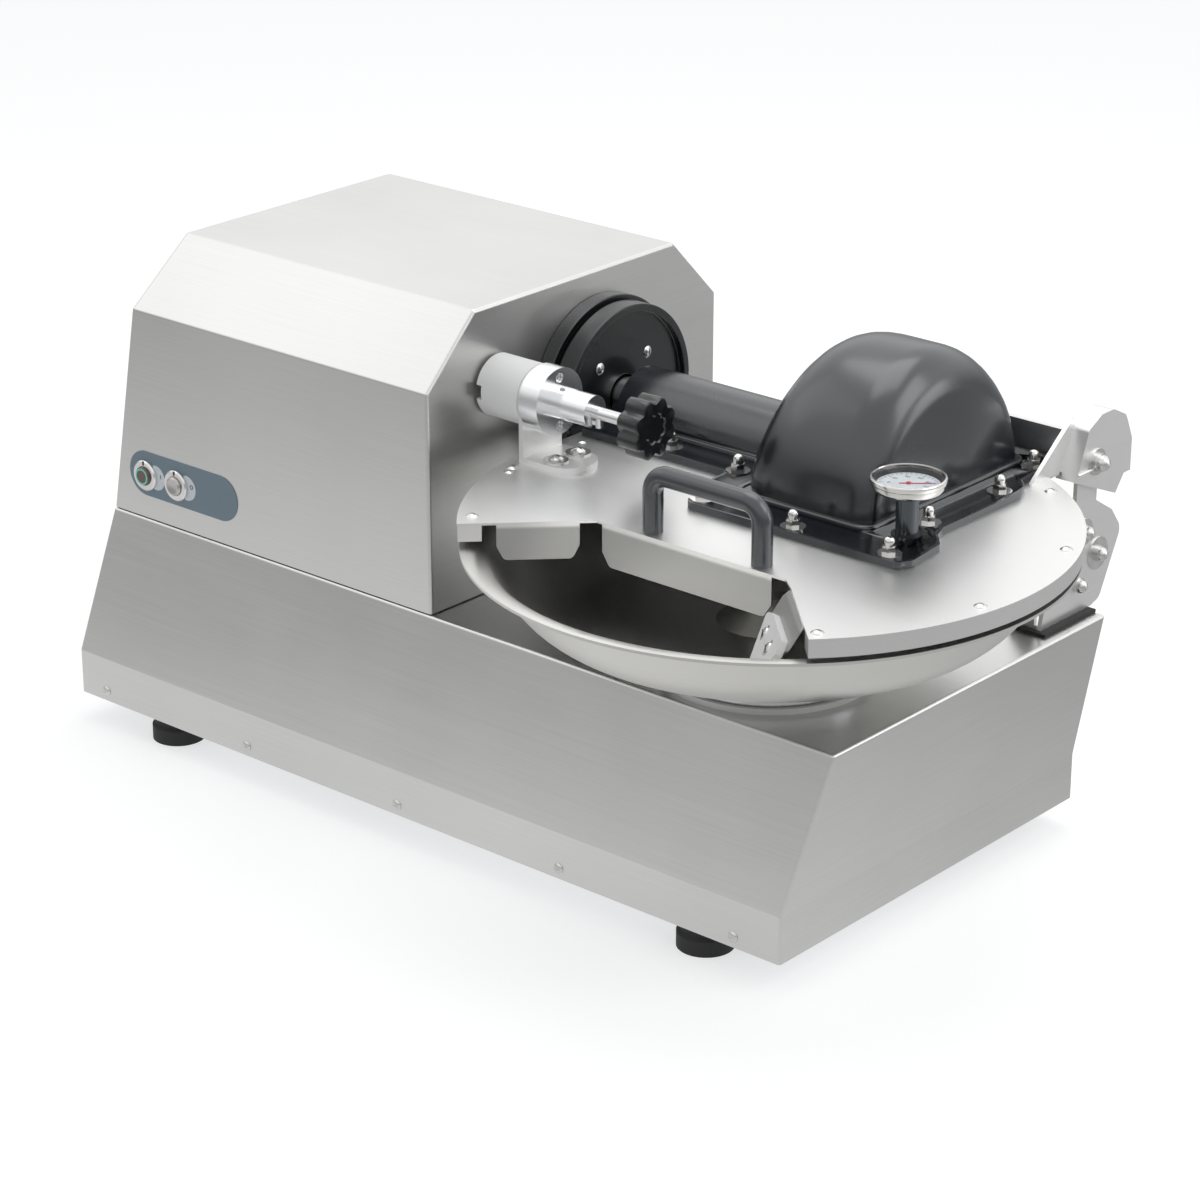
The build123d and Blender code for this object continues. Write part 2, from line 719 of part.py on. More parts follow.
def hinge_brackets():
    right, left = both_sides(hinge_bracket_form())
    save("hinge_bracket_right", right)
    save("hinge_bracket_left", left)
    pad = block((388, 132, BASE_TOP), (440, 210.5, PAD_TOP))
    save("hinge_pads", *both_sides(pad))


BRACKET_BOLTS = ((197.0, 288.0, 12.5), (220.0, 262.0, 15.0), (190.0, 241.0, 7.0))


def bracket_bolts():
    """Washers and domed bolt heads on the outer faces of both brackets."""
    bolts = []
    for y, z, washer_r in BRACKET_BOLTS:
        washer = Cylinder(washer_r, 1.2, align=LOW)
        head = washer + Pos(0, 0, 1.2) * Cylinder(7, 3, align=LOW) + Pos(0, 0, 4.2) * (Sphere(6.4) & Cylinder(7, 14, align=LOW))
        bolt = Location((BRACKET_OUT, y, z), (0, 90, 0)) * head
        bolts += both_sides(bolt)
    save("bracket_bolts", *bolts)


# ---------------------------------------------------------------- lid
OPENING = [(117.0, -259.0), (199.0, -178.0), (397.0, -178.0), (414.0, -192.0), (482.0, -259.0)]
SHAFT_SLOT_HALF = 32.0
KNIFE_SLOT = ((264.0, -56.5), (385.0, 141.0))
RING_LOW = 333.0
RING_WIDTH = 20.0
LIP_DROP = 36.0
REAR_WALL_Y = 174.0
REAR_WALL_TOP = 385.5
CHUTE_START = (414.0, -192.0)
CHUTE_TURN = -44.5
CHUTE_SLOPE = 62.0


def lid_disc(radius, low, high):
    """Disc about the bowl's axis, cut straight at the housing's side."""
    disc = at_bowl(Pos(0, 0, low) * Cylinder(radius, high - low, align=LOW))
    cut = block((BOWL_X - 2 * radius, BOWL_Y - 2 * radius, low - 1), (LID_LEFT_X, BOWL_Y + 2 * radius, high + 1))
    return disc - cut


def opening_cut(low, high):
    """Prism of the feed opening, run out past the lid's edge."""
    (x0, y0), (x1, y1) = OPENING[0], OPENING[1]
    (x3, y3), (x4, y4) = OPENING[3], OPENING[4]
    reach = 95.0
    run_left = (x0 - reach, y0 - reach * (y1 - y0) / (x1 - x0))
    run_right = (x4 + reach, y4 + reach * (y4 - y3) / (x4 - x3))
    return prism_z([run_left, *OPENING[1:4], run_right], low, high)


def folded_lip(start, end, drop, low_inset):
    """Sheet lip folded down along a line, with its two lower corners cut back."""
    sheet_low = LID_TOP - LID_SHEET
    length = hypot(end[0] - start[0], end[1] - start[1])
    angle = degrees(atan2(end[1] - start[1], end[0] - start[0]))
    outline = [(0, sheet_low), (0, sheet_low - drop + 12), (low_inset, sheet_low - drop), (length - low_inset, sheet_low - drop), (length, sheet_low - drop + 12), (length, sheet_low)]
    sheet = prism_y(outline, -0.1, LID_SHEET)
    lip = fillet(sheet.edges().filter_by(Axis.Y).group_by(Axis.Z)[0], 5)
    return Pos(start[0], start[1], 0) * Rot(0, 0, angle) * lip


def chute_plane():
    """Plane of the sloping flap at the opening's right side, with x along the bend and y up the slope."""
    turn = radians(CHUTE_TURN)
    slope = radians(CHUTE_SLOPE)
    along = (cos(turn), sin(turn), 0)
    outward = (sin(turn) * sin(slope), -cos(turn) * sin(slope), cos(slope))
    return Plane(origin=(*CHUTE_START, LID_TOP - LID_SHEET), x_dir=along, z_dir=outward)


def chute_flap():
    """Sloping flap that carries the scraper, with its far end drawn back from the bowl's wall."""
    outline = [(0, 1), (-9, -8), (-12, -34), (60, -34), (70, -24), (74, 1)]
    flap = Polygon(*outline, align=None)
    return extrude(chute_plane() * flap, LID_SHEET, dir=tuple(chute_plane().z_dir))


def lid_plate():
    """Round stainless lid with a feed opening, folded lips, and slots over the shaft and knives."""
    ear_line = EAR_IN + EAR_SHEET
    plate = lid_disc(LID_R, LID_TOP - LID_SHEET, LID_TOP)
    plate += block((LID_LEFT_X, -45, LID_TOP - LID_SHEET), (150, 118, LID_TOP))
    plate += block((LEFT_FLIP - ear_line, 60, LID_TOP - LID_SHEET), (ear_line, EAR_FRONT_Y - 0.5, LID_TOP))
    plate += block((LEFT_FLIP - EAR_IN, 60, LID_TOP - LID_SHEET), (EAR_IN, REAR_WALL_Y, LID_TOP))
    plate -= block((0, REAR_WALL_Y, 0), (2 * BOWL_X, REAR_WALL_Y + 100, LID_TOP + 1))
    plate -= opening_cut(LID_TOP - 10, LID_TOP + 10)
    slot_low = SHAFT_Y - SHAFT_SLOT_HALF + 4
    slot_high = SHAFT_Y + SHAFT_SLOT_HALF + 4
    plate -= block((0, slot_low, LID_TOP - 10), (KNIFE_SLOT[0][0] + 5, slot_high, LID_TOP + 10))
    plate -= block((*KNIFE_SLOT[0], LID_TOP - 10), (*KNIFE_SLOT[1], LID_TOP + 10))
    plate -= Pos(THERMO_X, THERMO_Y, LID_TOP) * Cylinder(STEM_THREAD_R, 20)
    plate += folded_lip((140.0, -236.4), (189.0, -188.0), 31.0, 6.0)
    plate += folded_lip((205.0, -178.0), (383.0, -178.0), LIP_DROP, 8.0)
    plate += chute_flap()
    save("lid_plate", plate)


def lid_ring():
    """Deep ring under the lid's edge, open at the feed opening."""
    ring_r = LID_R - 0.5
    ring = lid_disc(ring_r, RING_LOW, LID_TOP - LID_SHEET)
    ring -= at_bowl(Pos(0, 0, RING_LOW - 1) * Cylinder(ring_r - RING_WIDTH, 40, align=LOW))
    ring -= opening_cut(RING_LOW - 5, LID_TOP + 5)
    ring -= block((0, SHAFT_Y - SHAFT_R - 12, RING_LOW - 5), (120, SHAFT_Y + SHAFT_R + 12, LID_TOP + 5))
    ring -= block((0, REAR_WALL_Y, RING_LOW - 5), (2 * BOWL_X, REAR_WALL_Y + 100, LID_TOP + 5))
    save("lid_ring", *ring.solids())


def lid_rear_wall():
    """Upright sheet along the lid's back edge, from one hinge ear to the other."""
    x_right = EAR_IN - 0.2
    x_left = LEFT_FLIP - x_right
    wall = block((x_left, REAR_WALL_Y, LID_TOP - LID_SHEET), (x_right, REAR_WALL_Y + LID_SHEET, REAR_WALL_TOP))
    hem = block((x_left, REAR_WALL_Y, REAR_WALL_TOP - 2), (x_right, REAR_WALL_Y + 6, REAR_WALL_TOP))
    save("lid_rear_wall", wall + hem)


EAR_IN = 419.0
EAR_OUT = 440.0
EAR_SHEET = 4.0
EAR_FRONT_Y = 168.0


def hinge_ear_form():
    """Channel-shaped ear: a gusset plate on the lid, an outer plate, and a web over the front and the top."""
    outer_plate = [(EAR_FRONT_Y, 343), (185, 387), (203, 396), (222, 396), (242, 386), (253, 362), (253, 332), (243, 332), (231, 316.6)]
    face = Polygon(*outer_plate, align=None)
    for index, radius in {1: 8, 2: 10, 3: 14, 4: 16, 5: 12, 6: 4}.items():
        vertex = face.vertices().sort_by_distance(Vector(*outer_plate[index]))[0]
        face = fillet(vertex, radius)
    body = plate_x(face, EAR_IN, EAR_OUT)
    hollow_line = [(173, 330), (188.5, 384), (204, 392), (221, 392), (238, 383.5), (300, 383.5), (300, 300), (173, 300)]
    body -= prism_x(hollow_line, EAR_IN + EAR_SHEET, EAR_OUT - EAR_SHEET)
    flange_reach = 2.0
    rear = [(238, 383.5), (249, 361), (249, 332), (253, 332), (253, 362), (241, 387)]
    body += prism_x(rear, EAR_OUT - EAR_SHEET - flange_reach, EAR_OUT)
    gusset = [(127, LID_TOP), (176, LID_TOP), (190, 392), (184, 393)]
    body += prism_x(gusset, EAR_IN, EAR_IN + EAR_SHEET)
    body -= bar((EAR_IN - 5, HINGE_Y, HINGE_Z), (EAR_OUT + 5, HINGE_Y, HINGE_Z), PIN_R)
    return body


def hinge_ears():
    right, left = both_sides(hinge_ear_form())
    save("hinge_ear_right", right)
    save("hinge_ear_left", left)


def hinge_pins():
    """Pivot pins with a washered domed head outside each ear and spacers either side of the bracket."""
    inner = EAR_IN
    pin = bar((inner, HINGE_Y, HINGE_Z), (EAR_OUT, HINGE_Y, HINGE_Z), PIN_R)
    spacer_r = 11.0
    gap = 0.3
    bracket_in = BRACKET_OUT - BRACKET_THICK
    pin += bar((inner + EAR_SHEET, HINGE_Y, HINGE_Z), (bracket_in - gap, HINGE_Y, HINGE_Z), spacer_r)
    pin += bar((BRACKET_OUT + gap, HINGE_Y, HINGE_Z), (EAR_OUT - EAR_SHEET, HINGE_Y, HINGE_Z), spacer_r)
    head = Cylinder(12, 1.6, align=LOW) + Pos(0, 0, 1.6) * Cylinder(8.5, 4, align=LOW)
    head += Pos(0, 0, 5.6) * (Sphere(7.5) & Cylinder(8, 16, align=LOW))
    pin += Location((EAR_OUT, HINGE_Y, HINGE_Z), (0, 90, 0)) * head
    tail = Cylinder(9, 5, align=LOW)
    pin += Location((inner, HINGE_Y, HINGE_Z), (0, -90, 0)) * tail
    save("hinge_pins", *both_sides(pin))


# ---------------------------------------------------------------- black cover over shaft and knives
COVER_LOW = LID_TOP
COVER_FACE = LID_TOP + 4.0
COVER_WALL = 3.0
TUBE_Y = 49.5
TUBE_Z = 354.5
TUBE_R = 39.5
TUBE_LEFT = 52.5
DOME_X = (259.0, 390.0)
DOME_Y = 42.0
DOME_HALF = 102.5
DOME_TOP = 477.0
DOME_DRAFT = 7.0
DOME_EDGE = 36.0


WASHER_R = 10.8
ACORN_NUTS = (
    (139.6, -11.2),
    (220.6, -19.1),
    (240.6, -91.2),
    (337.4, -92.5),
    (433.1, -90.0),
    (416.1, -12.9),
    (417.7, 85.8),
    (404.5, 155.0),
)


def cover_outline():
    """Flange of the cover: narrow along the tube, wide round the dome, with a notched right side."""
    points = [
        (30, -28.5),
        (217, -28.5),
        (219, -58),
        (236, -108),
        (452, -105),
        (459, -92),
        (454, -49),
        (440, -33),
        (434, -17),
        (434.5, 92),
        (428, 108),
        (418, 118),
        (416, 172),
        (232, 172),
        (222, 112),
        (30, 112),
    ]
    face = Polygon(*points, align=None)
    rounded = {1: 6, 3: 10, 4: 7, 5: 7, 6: 8, 7: 8, 10: 6, 12: 5, 13: 12, 14: 10}
    for index, radius in rounded.items():
        vertex = face.vertices().sort_by_distance(Vector(*points[index]))[0]
        face = fillet(vertex, radius)
    margin = 5.0
    disc = Pos(BOWL_X, BOWL_Y) * Circle(LID_R - margin)
    left_piece = Pos(100, 35) * Rectangle(96, 140)
    return face & (disc + left_piece)


def dome_form(wall):
    """D-shaped dome, elliptical across, with drafted ends and full rounded shoulders."""
    half = DOME_HALF - wall
    height = DOME_TOP - COVER_FACE - wall
    low = COVER_LOW - (2 if wall else 0)
    ellipse = Pos(DOME_Y, COVER_FACE) * Ellipse(half, height)
    keep = Pos(DOME_Y, low + 200) * Rectangle(4 * half, 400)
    section = Plane.YZ * (ellipse & keep)
    legs = block((0, DOME_Y - half, low), (600, DOME_Y + half, COVER_FACE))
    body = extrude(section, 600) + legs
    left, right = DOME_X[0] + wall, DOME_X[1] - wall
    ends = prism_y(
        [(left, low), (right, low), (right - DOME_DRAFT, DOME_TOP + 20), (left + DOME_DRAFT, DOME_TOP + 20)],
        -300,
        400,
    )
    body = body & ends
    shoulders = body.edges().filter_by(lambda edge: edge.geom_type != GeomType.LINE and edge.center().Z > COVER_FACE + 5)
    return fillet(shoulders, DOME_EDGE - wall)


def tube_form(radius, low):
    """Half tube over the shaft with short straight legs."""
    arch = bar((TUBE_LEFT, TUBE_Y, TUBE_Z), (DOME_X[0] + 30, TUBE_Y, TUBE_Z), radius)
    upper = block((0, -200, TUBE_Z), (500, 300, 600))
    legs = block((TUBE_LEFT, TUBE_Y - radius, low), (DOME_X[0] + 30, TUBE_Y + radius, TUBE_Z))
    return (arch & upper) + legs


def foot_bead():
    """Rounded bead where the tube and the dome stand on the flange."""
    width = 4.0
    height = 5.0
    low, high = DOME_X
    tube = Pos((TUBE_LEFT + low) / 2 + 10, TUBE_Y) * Rectangle(low - TUBE_LEFT + 20, 2 * (TUBE_R + width))
    dome = Pos((low + high) / 2, DOME_Y) * RectangleRounded(high - low + 2 * width, 2 * (DOME_HALF + width), 12)
    bead = Pos(0, 0, COVER_FACE) * extrude(tube + dome, height)
    return fillet(bead.faces().sort_by(Axis.Z)[-1].edges(), 3.0)


def lid_cover():
    """One moulding: flange with a raised edge, half tube over the shaft and dome over the knives."""
    outline = cover_outline()
    rim_width = 3.5
    rim_height = 2.5
    flange = Pos(0, 0, COVER_LOW) * extrude(outline, COVER_FACE - COVER_LOW)
    rim = Pos(0, 0, COVER_FACE) * extrude(outline - offset(outline, -rim_width), rim_height)
    for x, y in ACORN_NUTS:
        rim -= Pos(x, y, COVER_FACE) * Cylinder(WASHER_R + 0.5, 3 * rim_height)
    back_rim = block((240, REAR_WALL_Y - 8, COVER_FACE), (412, REAR_WALL_Y - 4, COVER_FACE + 8))
    skin = flange + rim + back_rim + foot_bead() + dome_form(0) + tube_form(TUBE_R, COVER_LOW)
    hollow = dome_form(COVER_WALL) + tube_form(TUBE_R - COVER_WALL, COVER_LOW - 2)
    hollow += block((0, TUBE_Y - TUBE_R + COVER_WALL, COVER_LOW - 2), (TUBE_LEFT + 5, TUBE_Y + TUBE_R - COVER_WALL, 420))
    hollow += Pos(THERMO_X, THERMO_Y, COVER_LOW) * Cylinder(STEM_THREAD_R, 20)
    save("lid_cover", skin - hollow)


def acorn_nut():
    """Domed cap nut on a washer, seated at z = 0."""
    washer = Cylinder(WASHER_R, 1.6, align=LOW)
    hexagon = Pos(0, 0, 1.6) * extrude(RegularPolygon(6.3, 6), 6)
    crown = Pos(0, 0, 7.6) * Cylinder(4.7, 8.4, align=LOW)
    crown = fillet(crown.edges().sort_by(Axis.Z)[-1], 4.4)
    return washer + hexagon + crown


def cover_nuts():
    nuts = [Pos(x, y, COVER_FACE) * acorn_nut() for x, y in ACORN_NUTS]
    save("cover_nuts", *nuts)


# ---------------------------------------------------------------- lid fittings
HANDLE_X = (249.8, 363.8)
HANDLE_Y = -166.5
HANDLE_Z = 400.0
HANDLE_R = 8.75


def lid_handle():
    """Bridge handle with round bar and bent corners."""
    left, right = HANDLE_X
    path = FilletPolyline(
        (left, HANDLE_Y, LID_TOP),
        (left, HANDLE_Y, HANDLE_Z),
        (right, HANDLE_Y, HANDLE_Z),
        (right, HANDLE_Y, LID_TOP),
        radius=16,
    )
    section = Plane(origin=(left, HANDLE_Y, LID_TOP), z_dir=(0, 0, 1)) * Circle(HANDLE_R)
    save("lid_handle", sweep(section, path=path))


LID_SCREW_R = 247.0
LID_SCREW_ANGLES = (-139.9, -168.0, -43.3, -10.3, 24.0, 55.4)


def lid_screws():
    """Low screw heads round the lid that hold the ring."""
    heads = []
    for angle in LID_SCREW_ANGLES:
        x = BOWL_X + LID_SCREW_R * cos(radians(angle))
        y = BOWL_Y + LID_SCREW_R * sin(radians(angle))
        heads.append(Pos(x, y, LID_TOP) * screw_head(5.5, 2.4))
    heads.append(Pos(66.9, -140.4, LID_TOP) * screw_head(4.0, 2.0))
    heads.append(Pos(64.2, -42.5, LID_TOP) * screw_head(4.0, 2.0))
    save("lid_screws", *heads, *lock_screws())


def scraper():
    """White nylon scraper on the sloping flap, cut to the bowl's wall, with two slots for its screws."""
    thick = 6.0
    outline = [(-5, -25), (10, -19), (63, -19), (69, -30), (63, -45), (54, -57), (40, -70), (28, -73)]
    plane = chute_plane()
    face = Polygon(*outline, align=None)
    for corner, radius in ((0, 3), (1, 5), (2, 4), (7, 4)):
        vertex = face.vertices().sort_by_distance(Vector(*outline[corner]))[0]
        face = fillet(vertex, radius)
    for x, y in ((18, -34), (44, -36)):
        face -= Pos(x, y) * Rot(0, 0, 75) * SlotOverall(16, 5)
    outward = plane.z_dir
    blade = extrude(plane * face, thick, dir=tuple(outward))
    lift = outward * LID_SHEET
    save("bowl_scraper", Pos(lift.X, lift.Y, lift.Z) * blade)


# ---------------------------------------------------------------- lid lock
LOCK_ROD_R = 5.5
SLEEVE_LEFT = 9.0
UPRIGHT_LEFT = 57.0
UPRIGHT_RIGHT = 62.0
DISC_RIGHT = 82.0
STEM_RIGHT = 122.0
KNOB_LEFT = 162.0
KNOB_RIGHT = 190.0
LOCK_SLOT_HALF = 3.6


def lock_bracket():
    """Angle bracket: a tongue-shaped foot on the lid and an upright with a rounded head."""
    foot_thick = 5.0
    upright_half = 25.0
    head = bar((UPRIGHT_LEFT, LOCK_Y, LOCK_Z), (UPRIGHT_RIGHT, LOCK_Y, LOCK_Z), 27)
    leg = block((UPRIGHT_LEFT, LOCK_Y - upright_half, LID_TOP), (UPRIGHT_RIGHT, LOCK_Y + upright_half, LOCK_Z))
    foot_end = 92.0
    foot = block((UPRIGHT_LEFT, LOCK_Y - upright_half, LID_TOP), (foot_end, LOCK_Y + upright_half, LID_TOP + foot_thick))
    foot += Pos(foot_end, LOCK_Y, LID_TOP) * Cylinder(upright_half, foot_thick, align=LOW)
    bracket = head + leg + foot
    bracket -= bar((UPRIGHT_LEFT - 1, LOCK_Y, LOCK_Z), (UPRIGHT_RIGHT + 1, LOCK_Y, LOCK_Z), LOCK_ROD_R + 1)
    save("lock_bracket", bracket)


def lock_sleeve():
    """White nylon cylinder between bracket and hood, cross-slotted at its free end."""
    radius = 28.0
    sleeve = bar((SLEEVE_LEFT, LOCK_Y, LOCK_Z), (UPRIGHT_LEFT, LOCK_Y, LOCK_Z), radius)
    sleeve = chamfer(sleeve.edges().filter_by(GeomType.CIRCLE).sort_by(Axis.X)[0], 1.5)
    sleeve -= block((SLEEVE_LEFT - 1, LOCK_Y - 40, LOCK_Z - 6.5), (SLEEVE_LEFT + 7, LOCK_Y + 40, LOCK_Z + 6.5))
    sleeve -= bar((0, LOCK_Y, LOCK_Z), (UPRIGHT_LEFT + 1, LOCK_Y, LOCK_Z), LOCK_ROD_R + 0.5)
    save("lock_sleeve", sleeve)


LOCK_SCREW_OFFSETS = ((0.0, 21.5), (0.0, -21.5))


def lock_guide():
    """Turned aluminium guide: a thick disc with two counterbores and a stem slotted for the rod's pin."""
    disc_r = 30.0
    stem_r = 14.2
    profile = [
        (LOCK_ROD_R + RUNNING, UPRIGHT_RIGHT),
        (disc_r, UPRIGHT_RIGHT),
        (disc_r, DISC_RIGHT),
        (stem_r, DISC_RIGHT),
        (stem_r, STEM_RIGHT),
        (LOCK_ROD_R + RUNNING, STEM_RIGHT),
    ]
    guide = turned_x(profile, LOCK_Y, LOCK_Z)
    for y, z in LOCK_SCREW_OFFSETS:
        guide -= bar((DISC_RIGHT - 8, LOCK_Y + y, LOCK_Z + z), (DISC_RIGHT + 1, LOCK_Y + y, LOCK_Z + z), 4.6)
    slot_depth = 15.0
    guide -= block(
        (STEM_RIGHT - slot_depth, LOCK_Y - LOCK_SLOT_HALF, LOCK_Z - 40),
        (STEM_RIGHT + 1, LOCK_Y + LOCK_SLOT_HALF, LOCK_Z),
    )
    save("lock_guide", guide)


def lock_screws():
    """Socket screws of the guide and the two washered bolts of the bracket's foot."""
    screws = []
    for y, z in LOCK_SCREW_OFFSETS:
        place = Location((DISC_RIGHT - 8, LOCK_Y + y, LOCK_Z + z), (0, 90, 0))
        screws.append(place * (Cylinder(4.3, 5, align=LOW) - Pos(0, 0, 3) * extrude(RegularPolygon(2.4, 6), 5)))
    for x, y in ((87.7, -103.0), (89.2, -76.0)):
        bolt = Cylinder(11, 1.6, align=LOW) + Pos(0, 0, 1.6) * screw_head(6.5, 4.0)
        screws.append(Pos(x, y, LID_TOP + 5) * bolt)
    return screws


def lock_plunger():
    """Sliding rod with a cross pin, and its star knob."""
    rod = bar((SLEEVE_LEFT + 1, LOCK_Y, LOCK_Z), (KNOB_LEFT + 10, LOCK_Y, LOCK_Z), LOCK_ROD_R)
    rod = chamfer(rod.edges().filter_by(GeomType.CIRCLE).sort_by(Axis.X)[0], 1.5)
    pin_x = STEM_RIGHT + 5
    rod += bar((pin_x, LOCK_Y, LOCK_Z), (pin_x, LOCK_Y, LOCK_Z - 13), 3.2)
    save("lock_rod", rod)
    knob_r = 27.5
    lobe_count = 8
    valley_r = 5.2
    plane = Plane(origin=(KNOB_LEFT, LOCK_Y, LOCK_Z), x_dir=(0, 1, 0), z_dir=(1, 0, 0))
    star = Circle(knob_r)
    for index in range(lobe_count):
        angle = radians(22.5 + index * 360 / lobe_count)
        star -= Pos(31 * cos(angle), 31 * sin(angle)) * Circle(valley_r + 2.5)
    star = fillet(star.vertices(), 2.5)
    knob = extrude(plane * star, KNOB_RIGHT - KNOB_LEFT)
    hub_left = KNOB_LEFT - 12
    knob += bar((hub_left, LOCK_Y, LOCK_Z), (KNOB_LEFT + 1, LOCK_Y, LOCK_Z), 12)
    knob -= bar((hub_left - 1, LOCK_Y, LOCK_Z), (KNOB_LEFT + 10, LOCK_Y, LOCK_Z), LOCK_ROD_R)
    save("star_knob", knob)


# ---------------------------------------------------------------- thermometer
THERMO_X = 427.0
THERMO_Y = -58.0
DIAL_FLOOR = 398.0
DIAL_TOP = 410.0
DIAL_R = 31.5
STEM_THREAD_R = 9.0


def thermometer():
    """Dial thermometer on a threaded stem through the lid, with a loose pointer under its glass."""
    stem_r = 9.5
    thread_low = LID_TOP - LID_SHEET - 8
    stem_profile = [(0, thread_low), (STEM_THREAD_R, thread_low), (STEM_THREAD_R, COVER_FACE), (13, COVER_FACE)]
    stem_profile += [(13, COVER_FACE + 8), (stem_r, COVER_FACE + 8), (stem_r, DIAL_FLOOR), (0, DIAL_FLOOR)]
    place = Pos(THERMO_X, THERMO_Y, 0)
    save("thermometer_stem", place * (turned(stem_profile) + Pos(0, 0, 296) * Cylinder(3, 50, align=LOW)))
    rim = 2.2
    glass_low = DIAL_TOP - 3.0
    dial_face = DIAL_FLOOR + 4.0
    case_profile = [
        (0, DIAL_FLOOR),
        (DIAL_R - 1.5, DIAL_FLOOR),
        (DIAL_R, DIAL_FLOOR + 2),
        (DIAL_R, DIAL_TOP),
        (DIAL_R - rim - 1.5, DIAL_TOP),
        (DIAL_R - rim - 1.5, DIAL_TOP - 1.0),
        (DIAL_R - rim, DIAL_TOP - 1.0),
        (DIAL_R - rim, dial_face),
        (0, dial_face),
    ]
    save("thermometer_case", place * turned(case_profile))
    glass = Pos(0, 0, glass_low) * Cylinder(DIAL_R - rim, DIAL_TOP - 1.0 - glass_low, align=LOW)
    save("thermometer_glass", place * glass)
    pointer = Cylinder(3, 1.6, align=LOW) + block((-1.2, -8, 0), (1.2, 23, 0.8))
    pointer = Pos(0, 0, dial_face + 0.5) * pointer
    save("thermometer_pointer", place * pointer)


# ---------------------------------------------------------------- build
base_shell()
bottom_pan()
feet()
skirt_screws()
motor_housing()
housing_seal()
control_overlay()
buttons()
shaft_flange()
flange_screws()
knife_bearing_housing()
shaft_bearings()
drive_belt()
knife_motor()
motor_rotor()
knife_shaft()
knife_blades()
knife_spacers()
knife_nut()
bowl()
bowl_knob()
bowl_spindle()
bowl_turntable()
turntable_seat()
bowl_gearmotor()
cable_gland()
contactor_box()
hinge_brackets()
bracket_bolts()
lid_plate()
lid_ring()
lid_rear_wall()
hinge_ears()
hinge_pins()
lid_cover()
cover_nuts()
lid_handle()
lid_screws()
scraper()
lock_bracket()
lock_sleeve()
lock_guide()
lock_plunger()
thermometer()
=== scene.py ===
# %% [markdown]
# A bench bowl cutter: a steel motor housing on a leaning base, a steel bowl that turns, and
# knives under a hinged lid. The solid parts come ready made as a fixed frame. This lesson gives
# them their finishes and adds the details that a maker would see and a plain solid lacks.

import json
import math

import bpy
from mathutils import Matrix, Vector


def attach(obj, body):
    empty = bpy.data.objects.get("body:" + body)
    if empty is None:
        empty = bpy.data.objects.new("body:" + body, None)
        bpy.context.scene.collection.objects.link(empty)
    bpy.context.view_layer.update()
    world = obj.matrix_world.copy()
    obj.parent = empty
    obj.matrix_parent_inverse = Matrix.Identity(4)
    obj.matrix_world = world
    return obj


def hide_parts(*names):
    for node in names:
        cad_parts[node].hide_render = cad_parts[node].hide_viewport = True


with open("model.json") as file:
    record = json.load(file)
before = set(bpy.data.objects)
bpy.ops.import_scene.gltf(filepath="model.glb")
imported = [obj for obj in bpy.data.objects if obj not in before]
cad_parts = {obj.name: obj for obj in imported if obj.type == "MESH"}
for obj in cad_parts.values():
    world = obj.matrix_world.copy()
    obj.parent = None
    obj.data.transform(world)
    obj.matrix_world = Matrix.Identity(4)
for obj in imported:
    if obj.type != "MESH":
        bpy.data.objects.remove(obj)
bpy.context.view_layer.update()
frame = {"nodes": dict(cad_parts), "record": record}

# %% [markdown]
# The machine is drawn in millimetres from the middle of its four feet, as a fitter would
# measure it on the bench. Blender works in metres from the middle of the overall box. One small
# helper turns the first into the second, so that every later place is a plain workshop number.

# %% From workshop millimetres to the shared frame
MM = 0.001
BOX_MIDDLE = Vector((68.75, -42.5, 0.0))


def at(x, y, z):
    """A place in millimetres from the middle of the feet, in metres in the shared frame."""
    return (Vector((x, y, z)) - BOX_MIDDLE) * MM


print("bowl axis stands at", at(303, -78.5, 0))

# %% [markdown]
# Operators act on everything that is selected, so each new piece starts from nothing selected.
# Edit mode tools then need faces or edges picked in code, by where they lie.

# %% Helpers for modelling with operators
TAU = 2 * math.pi
SHARP = math.radians(50)
MERGE_WITHIN = 0.000002


def object_mode():
    """Leaves edit mode, if a piece is being edited."""
    if bpy.context.object and bpy.context.object.mode != "OBJECT":
        bpy.ops.object.mode_set(mode="OBJECT")


def clear():
    """Nothing selected."""
    object_mode()
    bpy.ops.object.select_all(action="DESELECT")


def only(piece):
    """This piece alone is selected and active."""
    clear()
    piece.select_set(True)
    bpy.context.view_layer.objects.active = piece


def pick(piece, kind, test):
    """In edit mode, selects the faces, edges or points whose middle passes the test."""
    object_mode()
    mesh = piece.data
    for group in (mesh.vertices, mesh.edges, mesh.polygons):
        group.foreach_set("select", [False] * len(group))
    count = 0
    if kind == "FACE":
        for face in mesh.polygons:
            face.select = test(face.center, face.normal)
            count += face.select
    if kind == "EDGE":
        for edge in mesh.edges:
            ends = [mesh.vertices[index].co for index in edge.vertices]
            edge.select = test((ends[0] + ends[1]) / 2, ends[1] - ends[0])
            count += edge.select
    if kind == "VERT":
        for point in mesh.vertices:
            point.select = test(point.co, point.normal)
            count += point.select
    bpy.ops.object.mode_set(mode="EDIT")
    bpy.ops.mesh.select_mode(type=kind)
    return count


def modify(piece, kind, **settings):
    """Adds a modifier with these settings and applies it."""
    only(piece)
    modifier = piece.modifiers.new(kind.lower(), kind)
    for name, value in settings.items():
        setattr(modifier, name, value)
    bpy.ops.object.modifier_apply(modifier=modifier.name)


def finish_piece(piece, name, body, angle=35):
    """Bakes the piece's place into its mesh, smooth shading, and who carries it."""
    only(piece)
    bpy.ops.object.transform_apply(location=True, rotation=True, scale=True)
    bpy.ops.object.shade_smooth_by_angle(angle=math.radians(angle))
    piece.name = name
    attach(piece, body)
    print(name, "faces:", len(piece.data.polygons), "rides on", body)
    return piece


